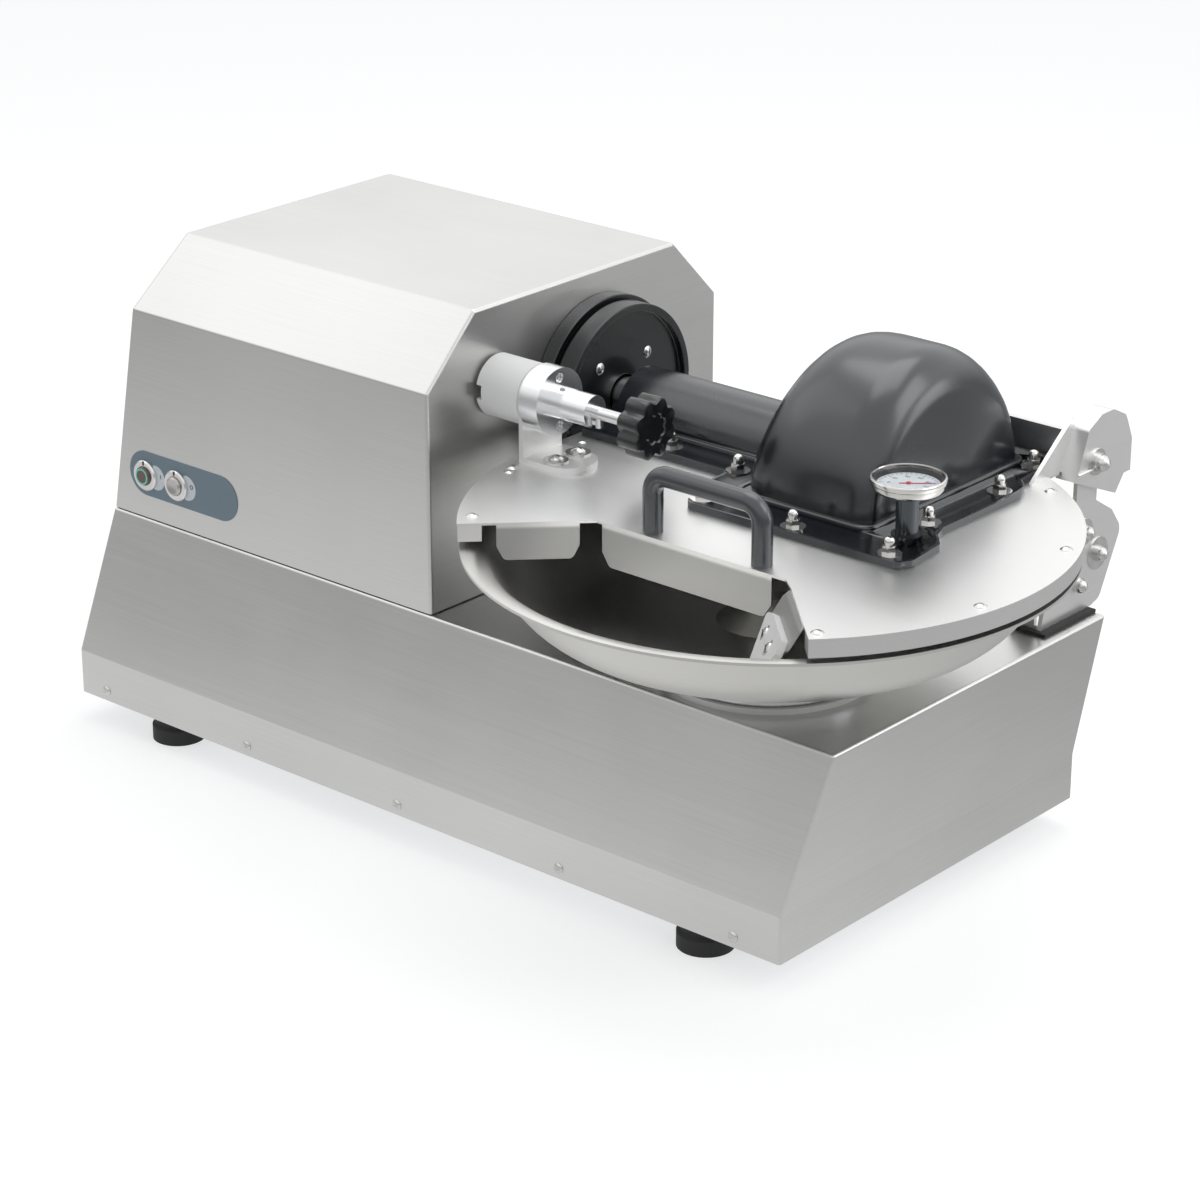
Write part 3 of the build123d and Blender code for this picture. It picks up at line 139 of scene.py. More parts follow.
# %% [markdown]
# The camera stands to the front right and a little above, far off with a long lens, as for a
# catalogue plate, so that parallel edges stay nearly parallel.

# %% Camera
CAMERA_PLACE = (1.93194, -2.21131, 1.40546)
CAMERA_TILT = 67.7
CAMERA_TURN = 40.9
LENS_MM = 106.995
SENSOR_MM = 36
camera_data = bpy.data.cameras.new("plate_camera")
camera = bpy.data.objects.new("plate_camera", camera_data)
bpy.context.scene.collection.objects.link(camera)
camera.location = CAMERA_PLACE
camera.rotation_euler = (math.radians(CAMERA_TILT), 0, math.radians(CAMERA_TURN))
camera_data.lens = LENS_MM
camera_data.sensor_width = SENSOR_MM
bpy.context.scene.camera = camera
bpy.context.scene.view_settings.view_transform = "Standard"
print("camera stands at", tuple(camera.location))

# %% [markdown]
# A finish is a small net of shader nodes. Written as sums on a value that varies over the
# surface, it reads like a formula, so one class wraps a socket and adds the maths nodes.

# %% A value that varies over a surface


class Field:
    """A socket that takes part in sums; each sum adds its own maths node."""

    def __init__(self, shader, socket):
        self.shader = shader
        self.socket = socket

    def math(self, operation, first, second=0.0):
        return self.shader.node("Math", {"operation": operation}, {0: first, 1: second})

    def __add__(self, other):
        return self.math("ADD", self, other)

    def __radd__(self, other):
        return self.math("ADD", other, self)

    def __sub__(self, other):
        return self.math("SUBTRACT", self, other)

    def __rsub__(self, other):
        return self.math("SUBTRACT", other, self)

    def __mul__(self, other):
        return self.math("MULTIPLY", self, other)

    def ramp(self, low, high):
        """0 below low, 1 above high, smooth between."""
        settings = {"interpolation_type": "SMOOTHSTEP"}
        return self.shader.node("MapRange", settings, {0: self, 1: low, 2: high})


class Net:
    """A node tree under construction, empty at first."""

    def __init__(self, tree):
        self.tree = tree
        self.tree.nodes.clear()

    def node(self, kind, settings, sockets, output=0):
        """Adds a node: settings first, then the values or links of its sockets."""
        made = self.tree.nodes.new("ShaderNode" + kind)
        for key, value in settings.items():
            setattr(made, key, value)
        for key, value in sockets.items():
            socket = made.inputs[key]
            if isinstance(value, Field):
                self.tree.links.new(value.socket, socket)
            elif socket.type == "RGBA":
                socket.default_value = (*value, 1)
            else:
                socket.default_value = value
        return Field(self, made.outputs[output])


class Finish(Net):
    """A material under construction."""

    def __init__(self, name):
        self.material = bpy.data.materials.new(name)
        self.material.use_nodes = True
        super().__init__(self.material.node_tree)

    def place(self, centre=(0, 0, 0), turn=(0, 0, 0), stretch=(1, 1, 1)):
        """Object coordinates about a centre, turned and stretched."""
        raw = self.node("TexCoord", {}, {}, "Object")
        offset = tuple(-c for c in centre)
        moved = self.node("Mapping", {"vector_type": "POINT"}, {"Vector": raw, "Location": offset})
        sockets = {"Vector": moved, "Rotation": turn, "Scale": stretch}
        return self.node("Mapping", {"vector_type": "POINT"}, sockets)

    def noise(self, where, scale, detail=3.0, rough=0.55):
        """Cloudy variation between 0 and 1."""
        sockets = {"Vector": where, "Scale": scale, "Detail": detail, "Roughness": rough}
        return self.node("TexNoise", {}, sockets)

    def mix(self, share, first, second):
        """Between two colours."""
        return self.node("Mix", {"data_type": "RGBA"}, {0: share, 6: first, 7: second}, 2)

    def surface(self, bump=None, depth=0.0002, strength=0.5, **sockets):
        """The surface shader; plain numbers are set on its own sockets."""
        values = {key.replace("_", " "): value for key, value in sockets.items()}
        if bump is not None:
            relief = {"Strength": strength, "Distance": depth, "Height": bump}
            values["Normal"] = self.node("Bump", {}, relief)
        shader = self.node("BsdfPrincipled", {}, values)
        output = self.tree.nodes.new("ShaderNodeOutputMaterial")
        self.tree.links.new(shader.socket, output.inputs["Surface"])
        return self.material


# %% [markdown]
# Floor and light. The lens sees the sheet as pale paper, while it still takes the soft shadow of the
# machine. Anything glossy sees mostly a painted pool of light on the sheet, bright round one spot
# at the front left and fading away from it. The world is the studio: bright walls, darker low down.

# %% Floor sheet
WHITE = (1.0, 1.0, 1.0)
FLOOR_SIZE = 14
PAPER_COLOUR = (0.86, 0.86, 0.86)
PAPER_GLOW = 1.95
GLOW_SHARE = 0.30
MIRRORED_SHARE = 0.80
PAINTED_POOL_MIDDLE = (-0.35, -0.30, 0.0)
clear()
bpy.ops.mesh.primitive_plane_add(size=1.0, location=(0, 0, 0))
floor = bpy.context.object
floor.name = "floor_sheet"
only(floor)
floor.scale = (FLOOR_SIZE, FLOOR_SIZE, 1)
bpy.ops.object.transform_apply(location=True, rotation=True, scale=True)
paper = Finish("paper_floor")
path = paper.tree.nodes.new("ShaderNodeLightPath")
seen = Field(paper, path.outputs["Is Camera Ray"])
mirrored = Field(paper, path.outputs["Is Glossy Ray"])
through = Field(paper, path.outputs["Is Transmission Ray"])
matt = paper.node("BsdfDiffuse", {}, {"Color": PAPER_COLOUR})
paper_glow = paper.node("Emission", {}, {"Color": WHITE, "Strength": PAPER_GLOW})
# A painted pool of light for glossy rays: bright round its middle, fading to about half further out.
painted_pool_place = paper.place(centre=PAINTED_POOL_MIDDLE, stretch=(0.60, 1.0, 0.0))
spread = paper.node("VectorMath", {"operation": "LENGTH"}, {0: painted_pool_place}, "Value")
painted_pool = 0.92 - spread.ramp(0.15, 1.05) * 0.50
painted_pool_glow = paper.node("Emission", {}, {"Color": painted_pool, "Strength": 1.0})
to_eye = paper.node("MixShader", {}, {0: (seen + through) * GLOW_SHARE, 1: matt, 2: paper_glow})
to_metal = paper.node("MixShader", {}, {0: mirrored * MIRRORED_SHARE, 1: to_eye, 2: painted_pool_glow})
paper_out = paper.tree.nodes.new("ShaderNodeOutputMaterial")
paper.tree.links.new(to_metal.socket, paper_out.inputs["Surface"])
floor.data.materials.append(paper.material)
print("floor sheet laid")

# %% Studio walls and lamps
world = bpy.data.worlds.new("studio")
bpy.context.scene.world = world
world.use_nodes = True
net = world.node_tree
walls = Net(net)
ray = net.nodes.new("ShaderNodeLightPath")
to_lens = Field(walls, ray.outputs["Is Camera Ray"]) + Field(walls, ray.outputs["Is Transmission Ray"])
to_gloss = Field(walls, ray.outputs["Is Glossy Ray"])
way = walls.node("TexCoord", {}, {}, "Generated")
split = net.nodes.new("ShaderNodeSeparateXYZ")
net.links.new(way.socket, split.inputs[0])
height = Field(walls, split.outputs["Z"])
depth = Field(walls, split.outputs["Y"])
upper_wall = height.ramp(0.0, 0.45) * 0.62
far_wall = depth.ramp(-0.5, 0.8) * height.ramp(-0.05, 0.2) * 0.30
wall_light = 0.40 + upper_wall + far_wall
ambient = walls.node("Background", {}, {"Color": (0.96, 0.98, 1.0), "Strength": 0.55})
reflected = walls.node("Background", {}, {"Color": wall_light, "Strength": 1.0})
white = walls.node("Background", {}, {"Color": WHITE, "Strength": 1.0})
lit = walls.node("MixShader", {}, {0: to_gloss, 1: ambient, 2: reflected})
both = walls.node("MixShader", {}, {0: to_lens, 1: lit, 2: white})
world_out = net.nodes.new("ShaderNodeOutputWorld")
net.links.new(both.socket, world_out.inputs["Surface"])


def soft_box(name, place, target, size, power):
    """A square lamp that faces its target: edge in metres, power in watts."""
    lamp_data = bpy.data.lights.new(name, "AREA")
    lamp_data.shape = "SQUARE"
    lamp_data.size = size
    lamp_data.energy = power
    lamp = bpy.data.objects.new(name, lamp_data)
    bpy.context.scene.collection.objects.link(lamp)
    lamp.location = place
    lamp.rotation_euler = (Vector(target) - Vector(place)).to_track_quat("-Z", "Y").to_euler()


soft_box("key_box", (2.1, 0.7, 2.3), (0.05, 0, 0.3), 1.6, 14)
soft_box("top_box", (-0.3, 0.5, 2.9), (0, 0, 0.3), 2.0, 20)
soft_box("left_box", (-2.0, -0.9, 2.4), (0.25, 0, 0.4), 1.6, 4)
soft_box("side_box", (2.6, 1.9, 0.8), (0.3, 0, 0.35), 1.2, 9)

# %% [markdown]
# Sheet steel. The body and lid are rolled sheet, brushed in one direction with a belt, which
# leaves hair-fine lines. Noise that is squeezed across the lines and stretched along them gives
# that grain; a slow cloud changes tone and gloss, as handling and cleaning do.

# %% Brushed sheet
STEEL = (0.66, 0.66, 0.65)
LID_STEEL = (0.76, 0.76, 0.755)
GRAIN_ALONG_X = (6, 900, 900)
GRAIN_ALONG_Y = (900, 6, 900)
# Below this level the lid plate gets painted shade, faded in over four millimetres.
BEND_LEVEL = 0.3465
BEND_FADE = 0.004
PAINTED_SHADE_TONE = 0.58


def brushed_sheet(name, colour, rough=0.34, contrast=0.10, painted_shade_below=None):
    """Rolled sheet steel with a straight grain; faces that look along X have theirs along Y."""
    finish = Finish(name)
    normal = finish.node("TexCoord", {}, {}, "Normal")
    facing = finish.node("SeparateXYZ", {}, {0: normal}, 0)
    sideways = (facing * facing).ramp(0.45, 0.55)
    straight = finish.noise(finish.place(stretch=GRAIN_ALONG_X), 1.0, 4.0, 0.7)
    across = finish.noise(finish.place(stretch=GRAIN_ALONG_Y), 1.0, 4.0, 0.7)
    lines = straight + (across - straight) * sideways
    scratches = finish.noise(finish.place(stretch=(25, 260, 260)), 1.0, 2.0)
    cloud = finish.noise(finish.place(), 3.2, 3.0)
    darker = tuple(c * (1 - contrast) for c in colour)
    lighter = tuple(min(1.0, c * (1 + contrast)) for c in colour)
    tone = (lines - 0.5) * 0.55 + cloud * 0.6 + 0.2
    skin = finish.mix(tone.ramp(0.1, 0.9), darker, lighter)
    gloss = rough + (lines - 0.5) * 0.12 + (cloud - 0.5) * 0.10
    # Below the given level the colour is darkened as painted shade, and the gloss is made rougher.
    if painted_shade_below is not None:
        level = finish.node("SeparateXYZ", {}, {0: finish.place()}, 2)
        painted_shade = level.ramp(painted_shade_below, painted_shade_below - BEND_FADE)
        skin = finish.mix(painted_shade, skin, tuple(c * PAINTED_SHADE_TONE for c in colour))
        gloss = gloss + painted_shade * 0.12
    return finish.surface(
        Base_Color=skin,
        Metallic=1.0,
        Roughness=gloss,
        bump=lines * 0.6 + scratches * 0.4,
        depth=0.00008,
        strength=0.35,
    )


finishes = {}
finishes["brushed_body"] = brushed_sheet("body_steel", STEEL)
finishes["brushed_lid"] = brushed_sheet("lid_steel", LID_STEEL, 0.38, 0.04)
finishes["bent_stainless"] = brushed_sheet("bracket_steel", (0.84, 0.84, 0.835), 0.40, 0.05)
finishes["zinc_sheet"] = brushed_sheet("zinc_sheet", (0.55, 0.57, 0.60), 0.5, 0.16)
print("sheet finishes:", list(finishes))

# %% [markdown]
# Turned steel. The bowl, spindle parts, guide and dial case were finished on a lathe, so their
# fine lines run round an axis. The distance from that axis, fed to a noise, gives the rings.

# %% Rings about an axis
BOWL_X, BOWL_Y = 303, -78.5
BOWL_AXIS = at(BOWL_X, BOWL_Y, 0)
KNIFE_AXIS = at(0, 45.5, 364)
LOCK_Y, LOCK_Z = -91.5, 403.5
LOCK_AXIS = at(0, LOCK_Y, LOCK_Z)
DIAL_X, DIAL_Y = 427, -58
DIAL_AXIS = at(DIAL_X, DIAL_Y, 0)
QUARTER = math.pi / 2
ALONG_X = (0, QUARTER, 0)


def from_axis(finish, centre, turn):
    """The distance from a line through centre; the line is Z before the turn."""
    where = finish.place(centre=tuple(centre), turn=turn)
    flat = finish.node("VectorMath", {"operation": "MULTIPLY"}, {0: where, 1: (1.0, 1.0, 0.0)})
    return finish.node("VectorMath", {"operation": "LENGTH"}, {0: flat}, "Value")


def turned_metal(name, colour, centre, turn=(0, 0, 0), rough=0.25, pitch=700.0, contrast=0.10):
    """Lathe-finished metal with fine rings about one axis."""
    finish = Finish(name)
    radius = from_axis(finish, centre, turn)
    wide = finish.node("CombineXYZ", {}, {0: radius * pitch, 1: 0.0, 2: 0.0})
    rings = finish.noise(wide, 1.0, 5.0, 0.7)
    cloud = finish.noise(finish.place(), 7.0, 3.0)
    darker = tuple(c * (1 - contrast) for c in colour)
    tone = (rings - 0.5) * 0.7 + cloud * 0.5 + 0.25
    return finish.surface(
        Base_Color=finish.mix(tone.ramp(0.1, 0.9), darker, colour),
        Metallic=1.0,
        Roughness=rough + (rings - 0.5) * 0.14 + (cloud - 0.5) * 0.08,
        bump=rings,
        depth=0.00006,
        strength=0.35,
    )


finishes["bowl_steel"] = turned_metal(
    "bowl_steel", (0.72, 0.715, 0.69), BOWL_AXIS, rough=0.38, pitch=900.0, contrast=0.05
)
finishes["turntable_chrome"] = turned_metal("turntable_plate", (0.62, 0.63, 0.64), BOWL_AXIS, rough=0.18)
finishes["thermo_steel"] = turned_metal(
    "dial_case", (0.70, 0.69, 0.67), DIAL_AXIS, rough=0.16, pitch=1500.0
)
finishes["turned_aluminium"] = turned_metal(
    "guide_aluminium", (0.86, 0.87, 0.88), LOCK_AXIS, ALONG_X, 0.22, 1500.0, 0.05
)
finishes["bearing_steel"] = turned_metal(
    "ground_steel", (0.72, 0.72, 0.73), KNIFE_AXIS, ALONG_X, 0.16, 1300.0
)
finishes["pulley_aluminium"] = turned_metal(
    "pulley_aluminium", (0.74, 0.75, 0.77), KNIFE_AXIS, ALONG_X, 0.32, 900.0
)
finishes["blade_steel"] = turned_metal(
    "blade_steel", (0.70, 0.71, 0.72), KNIFE_AXIS, ALONG_X, 0.14, 1100.0
)
print("turned finishes added:", len(finishes))

# %% [markdown]
# Bright small metal: screws, cap nuts and button rings are plated. A plated surface is nearly a
# mirror, so it only needs a breath of smudges in its gloss and a very faint waviness.

# %% Plated metal


def plated(name, colour, rough=0.08, smudge=0.12):
    """Plated metal with smudges."""
    finish = Finish(name)
    cloud = finish.noise(finish.place(), 60.0, 4.0, 0.6)
    fine = finish.noise(finish.place(), 900.0, 2.0)
    darker = tuple(c * 0.86 for c in colour)
    return finish.surface(
        Base_Color=finish.mix(cloud.ramp(0.3, 0.75), darker, colour),
        Metallic=1.0,
        Roughness=rough + cloud * smudge,
        bump=fine,
        depth=0.00003,
        strength=0.2,
    )


finishes["chrome_nut"] = plated("cap_nut_plating", (0.78, 0.77, 0.75))
finishes["bright_screw"] = plated("screw_plating", (0.70, 0.70, 0.69), 0.16, 0.2)
finishes["button_metal"] = plated("button_ring_plating", (0.80, 0.80, 0.79), 0.12)
finishes["stop_plain"] = plated("stop_cap_metal", (0.56, 0.54, 0.52), 0.2, 0.2)
print("plated finishes added:", len(finishes))

# %% [markdown]
# Moulded and painted parts. The cover is charcoal plastic with a satin skin, the flange is
# smoother and blacker. A moulding tool leaves a fine even grain, and handling polishes it in
# patches, so the grain goes to the bump and the patches to the roughness.

# %% Moulded plastic, rubber and paint


def moulded(name, colour, rough, grain=1400.0, depth=0.00006, spread=0.12, coat=0.0, patch=9.0, shine=0.5):
    """Moulded or painted skin: fine grain, slow patches of gloss and tone."""
    finish = Finish(name)
    speck = finish.noise(finish.place(), grain, 2.0)
    cloud = finish.noise(finish.place(), patch, 4.0, 0.6)
    lighter = tuple(min(1.0, c * (1 + spread * 2) + 0.004) for c in colour)
    tone = cloud * 0.75 + speck * 0.25
    return finish.surface(
        Base_Color=finish.mix(tone.ramp(0.25, 0.8), colour, lighter),
        Roughness=rough + (cloud - 0.5) * 0.14 + (speck - 0.5) * 0.06,
        Specular_IOR_Level=shine,
        Coat_Weight=coat,
        Coat_Roughness=0.12,
        bump=speck,
        depth=depth,
        strength=0.4,
    )


finishes["black_satin"] = moulded("cover_charcoal", (0.007, 0.010, 0.015), 0.25, coat=0.15, shine=1.0)
finishes["handle_black"] = moulded("handle_charcoal", (0.018, 0.022, 0.030), 0.25, coat=0.15, shine=1.0)
finishes["knob_black"] = moulded("knob_black", (0.008, 0.009, 0.011), 0.26, coat=0.3)
finishes["black_gloss"] = moulded("flange_black", (0.005, 0.006, 0.008), 0.28, coat=0.3)
finishes["black_nylon"] = moulded("gland_nylon", (0.020, 0.021, 0.023), 0.45)
finishes["black_rubber"] = moulded("rubber", (0.020, 0.020, 0.021), 0.72, 700.0, 0.00015)
finishes["white_nylon"] = moulded("white_nylon", (0.80, 0.80, 0.79), 0.42, 900.0, 0.00005, 0.03)
finishes["seat_plastic"] = moulded("seat_plastic", (0.62, 0.62, 0.60), 0.5, 900.0, 0.00006, 0.05)
finishes["cast_housing"] = moulded("cast_paint", (0.16, 0.17, 0.18), 0.5, 420.0, 0.0003, 0.10)
finishes["overlay_blue"] = moulded("panel_film", (0.165, 0.225, 0.27), 0.40, 2600.0, 0.00003, 0.05)
finishes["pointer_red"] = moulded("pointer_red", (0.62, 0.03, 0.07), 0.35, 2600.0, 0.00003, 0.05)
finishes["start_green"] = moulded("start_lens", (0.10, 0.055, 0.05), 0.22, 2600.0, 0.00003, 0.30, 0.4)
print("moulded finishes added:", len(finishes))

# %% [markdown]
# Clear glass over the dial: almost nothing but its reflections, with a few faint smears.

# %% Glass
glass = Finish("dial_glass")
smear = glass.noise(glass.place(stretch=(1, 3, 1)), 55.0, 4.0)
finishes["thermo_glass"] = glass.surface(
    Base_Color=(1.0, 1.0, 1.0),
    Roughness=smear.ramp(0.55, 0.9) * 0.10 + 0.01,
    Transmission_Weight=1.0,
    IOR=1.2,
    bump=smear,
    depth=0.00001,
    strength=0.1,
)

# %% [markdown]
# Each solid part gets the finish of its slot. Two parts need one of their own. The lid plate gets
# painted shade below its bend, on the folded lips that look down into the bowl. The thermometer's
# stem gets a dark steel colour: painted shade and a painted reflection of the black cover.

# %% Dress every solid part in its finish
for part in frame["record"]["subparts"]:
    solid = frame["nodes"][part["node"]]
    solid.data.materials.clear()
    solid.data.materials.append(finishes[part["material_slot"]])
lid_with_painted_shade = brushed_sheet("lid_steel_painted_shade", LID_STEEL, 0.38, 0.04, painted_shade_below=BEND_LEVEL)
frame["nodes"]["lid_plate"].data.materials[0] = lid_with_painted_shade
# The stem's dark steel colour is painted shade and a painted reflection of the black cover.
stem_with_painted_shade = turned_metal("stem_painted_shade", (0.10, 0.11, 0.12), DIAL_AXIS, rough=0.16, pitch=1500.0)
frame["nodes"]["thermometer_stem"].data.materials[0] = stem_with_painted_shade

# %% [markdown]
# Many small parts are turned shapes: discs, rings and dishes. A lathe cuts a profile while the
# work spins. Here one point is pulled along the profile step by step and then spun about Z, and
# the seam is merged, so that the wall is closed and faces outwards.

# %% A lathe


def lathe(profile, steps=64):
    """Pulls a point along (radius, height) millimetres, then spins the line about Z."""
    clear()
    bpy.ops.mesh.primitive_plane_add(size=MM)
    piece = bpy.context.object
    bpy.ops.object.mode_set(mode="EDIT")
    bpy.ops.mesh.select_mode(type="VERT")
    bpy.ops.mesh.select_all(action="SELECT")
    bpy.ops.mesh.merge(type="CENTER")
    bpy.ops.transform.translate(value=(profile[0][0] * MM, 0, profile[0][1] * MM))
    for before, after in zip(profile, profile[1:]):
        step = ((after[0] - before[0]) * MM, 0, (after[1] - before[1]) * MM)
        bpy.ops.mesh.extrude_region_move(TRANSFORM_OT_translate={"value": step})
    bpy.ops.mesh.select_all(action="SELECT")
    bpy.ops.mesh.spin(steps=steps, angle=TAU, center=(0, 0, 0), axis=(0, 0, 1))
    bpy.ops.mesh.select_all(action="SELECT")
    bpy.ops.mesh.remove_doubles(threshold=MERGE_WITHIN)
    bpy.ops.mesh.normals_make_consistent(inside=False)
    object_mode()
    return piece


def put(piece, place, turn=(0, 0, 0)):
    """Moves a finished shape to its place and turns it."""
    piece.location = place
    piece.rotation_euler = turn
    return piece


def join(parts):
    """Several shapes become one piece."""
    clear()
    for part in parts:
        part.select_set(True)
    bpy.context.view_layer.objects.active = parts[0]
    bpy.ops.object.join()
    return bpy.context.object


def block(low, high, soften=0.0, segments=2):
    """A block between two corners in millimetres, with its edges rounded."""
    clear()
    bpy.ops.mesh.primitive_cube_add(size=1.0)
    piece = bpy.context.object
    piece.scale = tuple((b - a) * MM for a, b in zip(low, high))
    piece.location = tuple((a + b) / 2 * MM for a, b in zip(low, high))
    bpy.ops.object.transform_apply(location=True, rotation=True, scale=True)
    if soften:
        modify(piece, "BEVEL", width=soften * MM, segments=segments, limit_method="NONE")
    return piece


def copy_of(piece):
    """The same shape again, with a mesh of its own."""
    copy = bpy.data.objects.new(piece.name, piece.data.copy())
    bpy.context.scene.collection.objects.link(copy)
    return copy


def discard(pattern):
    """Takes away a pattern, with its mesh, once its copies are made."""
    bpy.data.meshes.remove(pattern.data)


def paint(piece, material):
    """One finish on the whole piece."""
    piece.data.materials.clear()
    piece.data.materials.append(material)
    return piece


# %% [markdown]
# Each push button sits in a bright ring with a small notch at the top. Beside it a pale legend
# disc carries its sign. The start button is lit by a thin green ring round a dark lens; the stop
# button is plain metal with a shallow dish. The caps ride on their own bodies and can be pushed.

# %% Legend discs with their signs
FACING_OUT = (QUARTER, 0, 0)
PANEL_FACE = -177.6
BUTTON_Z = 255.0
BUTTONS = {"start": -355.1, "stop": -313.5}
DISC_OFFSET = 12.6
SIGN_OFFSET = 19.5
SIGN_RISE = 2.5
pale_plate = moulded("legend_plate", (0.66, 0.70, 0.74), 0.36, 1800.0, 0.00003, 0.04)
sign_ink = moulded("sign_ink", (0.10, 0.11, 0.13), 0.5, 1800.0, 0.00002, 0.05)
disc_pattern = lathe([(0, -0.4), (12.0, -0.4), (12.0, 0.35), (11.7, 0.6), (0, 0.6)], 48)
for label, x in BUTTONS.items():
    disc = put(copy_of(disc_pattern), at(x + DISC_OFFSET, PANEL_FACE, BUTTON_Z), FACING_OUT)
    paint(finish_piece(disc, "legend_disc_" + label, "machine"), pale_plate)
discard(disc_pattern)
bar = block((-0.5, -2.0, 0.3), (0.5, 2.0, 0.75), 0.1)
put(bar, at(BUTTONS["start"] + SIGN_OFFSET, PANEL_FACE, BUTTON_Z + SIGN_RISE), FACING_OUT)
paint(finish_piece(bar, "sign_on", "machine"), sign_ink)
loop = lathe([(1.3, 0.3), (2.2, 0.3), (2.2, 0.75), (1.3, 0.75), (1.3, 0.3)], 24)
put(loop, at(BUTTONS["stop"] + SIGN_OFFSET, PANEL_FACE, BUTTON_Z + SIGN_RISE), FACING_OUT)
paint(finish_piece(loop, "sign_off", "machine"), sign_ink)

# %% Rings, notches and caps
green_light = moulded("start_light", (0.16, 0.60, 0.44), 0.25, 1800.0, 0.00002, 0.10, 0.4)
CAP_STANDS_OUT = 6.5
CAP_FACE = PANEL_FACE - CAP_STANDS_OUT
GLOW_PROFILE = [(6.2, -0.2), (7.9, -0.2), (7.9, 0.35), (7.5, 0.5), (6.6, 0.5), (6.2, 0.35), (6.2, -0.2)]
glow_ring = lathe(GLOW_PROFILE, 48)
put(glow_ring, at(BUTTONS["start"], CAP_FACE, BUTTON_Z), FACING_OUT)
paint(finish_piece(glow_ring, "start_light_ring", "start_button"), green_light)
dish = lathe([(0, 0.1), (5.0, 0.1), (5.8, 0.55), (7.4, 0.55), (7.9, 0.1), (7.9, -0.2), (0, -0.2)], 48)
put(dish, at(BUTTONS["stop"], CAP_FACE, BUTTON_Z), FACING_OUT)
paint(finish_piece(dish, "stop_dish", "stop_button"), finishes["stop_plain"])
notch_pattern = block((-1.3, 10.2, 3.2), (1.3, 14.2, 4.15), 0.25)
for label, x in BUTTONS.items():
    notch = put(copy_of(notch_pattern), at(x, PANEL_FACE, BUTTON_Z), FACING_OUT)
    paint(finish_piece(notch, "ring_notch_" + label, "machine"), finishes["black_nylon"])
discard(notch_pattern)

# %% [markdown]
# The knife cover is one moulding with no sharp edge. Its dome is a half ellipse that swells from
# the left over seven centimetres and ends at the right in a flat face with a wide rounded edge.
# The section is drawn once and extruded to the right in steps, each scaled about its foot, and
# the closed form is then opened below and given its wall, so that the knives still fit inside.

# %% Dome of the knife cover
DOME_LEFT, DOME_RIGHT = 250.0, 390.0
DOME_SWELL, DOME_ROUND = 72.0, 38.0
DOME_MIDDLE_Y, DOME_HALF, DOME_HEIGHT = 50.0, 112.5, 123.5
DOME_WALL = 3.0
SWELL_POWER = 2.9
SWELL_NARROWING = 0.35
END_NARROWING = 16.0
SWELL_STEPS, ROUND_STEPS = 12, 8
COVER_FACE = 353.0
stations = []
for step in range(1, SWELL_STEPS + 1):
    run = 1 - math.cos(step / SWELL_STEPS * QUARTER)
    swell = (1 - (1 - run) ** SWELL_POWER) ** (1 / SWELL_POWER)
    stations.append((DOME_LEFT + DOME_SWELL * run, 1 - (1 - swell) * SWELL_NARROWING, swell))
for step in range(ROUND_STEPS + 1):
    turn = step / ROUND_STEPS * QUARTER
    fall = 1 - math.cos(turn)
    station_x = DOME_RIGHT - DOME_ROUND * (1 - math.sin(turn))
    wide = 1 - END_NARROWING / DOME_HALF * fall
    stations.append((station_x, wide, 1 - DOME_ROUND / DOME_HEIGHT * fall))
clear()
bpy.ops.mesh.primitive_circle_add(vertices=96, radius=1.0, fill_type="NGON", rotation=(0, QUARTER, 0))
dome = bpy.context.object
only(dome)
bpy.ops.object.transform_apply(location=False, rotation=True, scale=False)
bpy.ops.object.mode_set(mode="EDIT")
bpy.ops.mesh.select_all(action="SELECT")
bpy.ops.mesh.bisect(plane_co=(0, 0, 0), plane_no=(0, 0, 1), use_fill=False, clear_inner=True)
object_mode()
first_x, first_wide, first_high = stations[0]
dome.scale = (1, DOME_HALF * first_wide * MM, DOME_HEIGHT * first_high * MM)
dome.location = at(first_x, DOME_MIDDLE_Y, COVER_FACE)
bpy.ops.object.transform_apply(location=True, rotation=True, scale=True)
pick(dome, "FACE", lambda middle, normal: True)
for before, after in zip(stations, stations[1:]):
    step_right = ((after[0] - before[0]) * MM, 0, 0)
    bpy.ops.mesh.extrude_region_move(TRANSFORM_OT_translate={"value": step_right})
    foot = at(after[0], DOME_MIDDLE_Y, COVER_FACE)
    bpy.ops.transform.resize(value=(1, after[1] / before[1], after[2] / before[2]), center_override=foot)
bpy.ops.mesh.select_all(action="SELECT")
bpy.ops.mesh.normals_make_consistent(inside=False)
object_mode()
below = pick(dome, "FACE", lambda middle, normal: middle.z < COVER_FACE * MM + 0.0001)
bpy.ops.mesh.delete(type="FACE")
object_mode()
print("dome stations:", len(stations), "faces opened below:", below)
modify(dome, "SOLIDIFY", thickness=DOME_WALL * MM, offset=-1.0)
finish_piece(dome, "cover_dome", "lid", 50)
paint(dome, finishes["black_satin"])

# %% [markdown]
# The flange and the half tube keep the shape of the solid part. A copy of its mesh is merged, and
# the faces of the old dome are taken away, which leaves a cut edge open inside the new dome. A
# rounded bead then closes the foot of the new dome.

# %% Flange, half tube and bead
plain_cover = frame["nodes"]["lid_cover"]
flange = copy_of(plain_cover)
only(flange)
bpy.ops.object.mode_set(mode="EDIT")
bpy.ops.mesh.select_all(action="SELECT")
bpy.ops.mesh.remove_doubles(threshold=MERGE_WITHIN)
old_front = at(256, -62, 358.4)
old_back = at(256, 150, 358.4)


def on_old_dome(middle, normal):
    """Right of the half tube, above the flange, and between the dome's front and back."""
    return middle.x > old_front.x and middle.z > old_front.z and old_front.y < middle.y < old_back.y


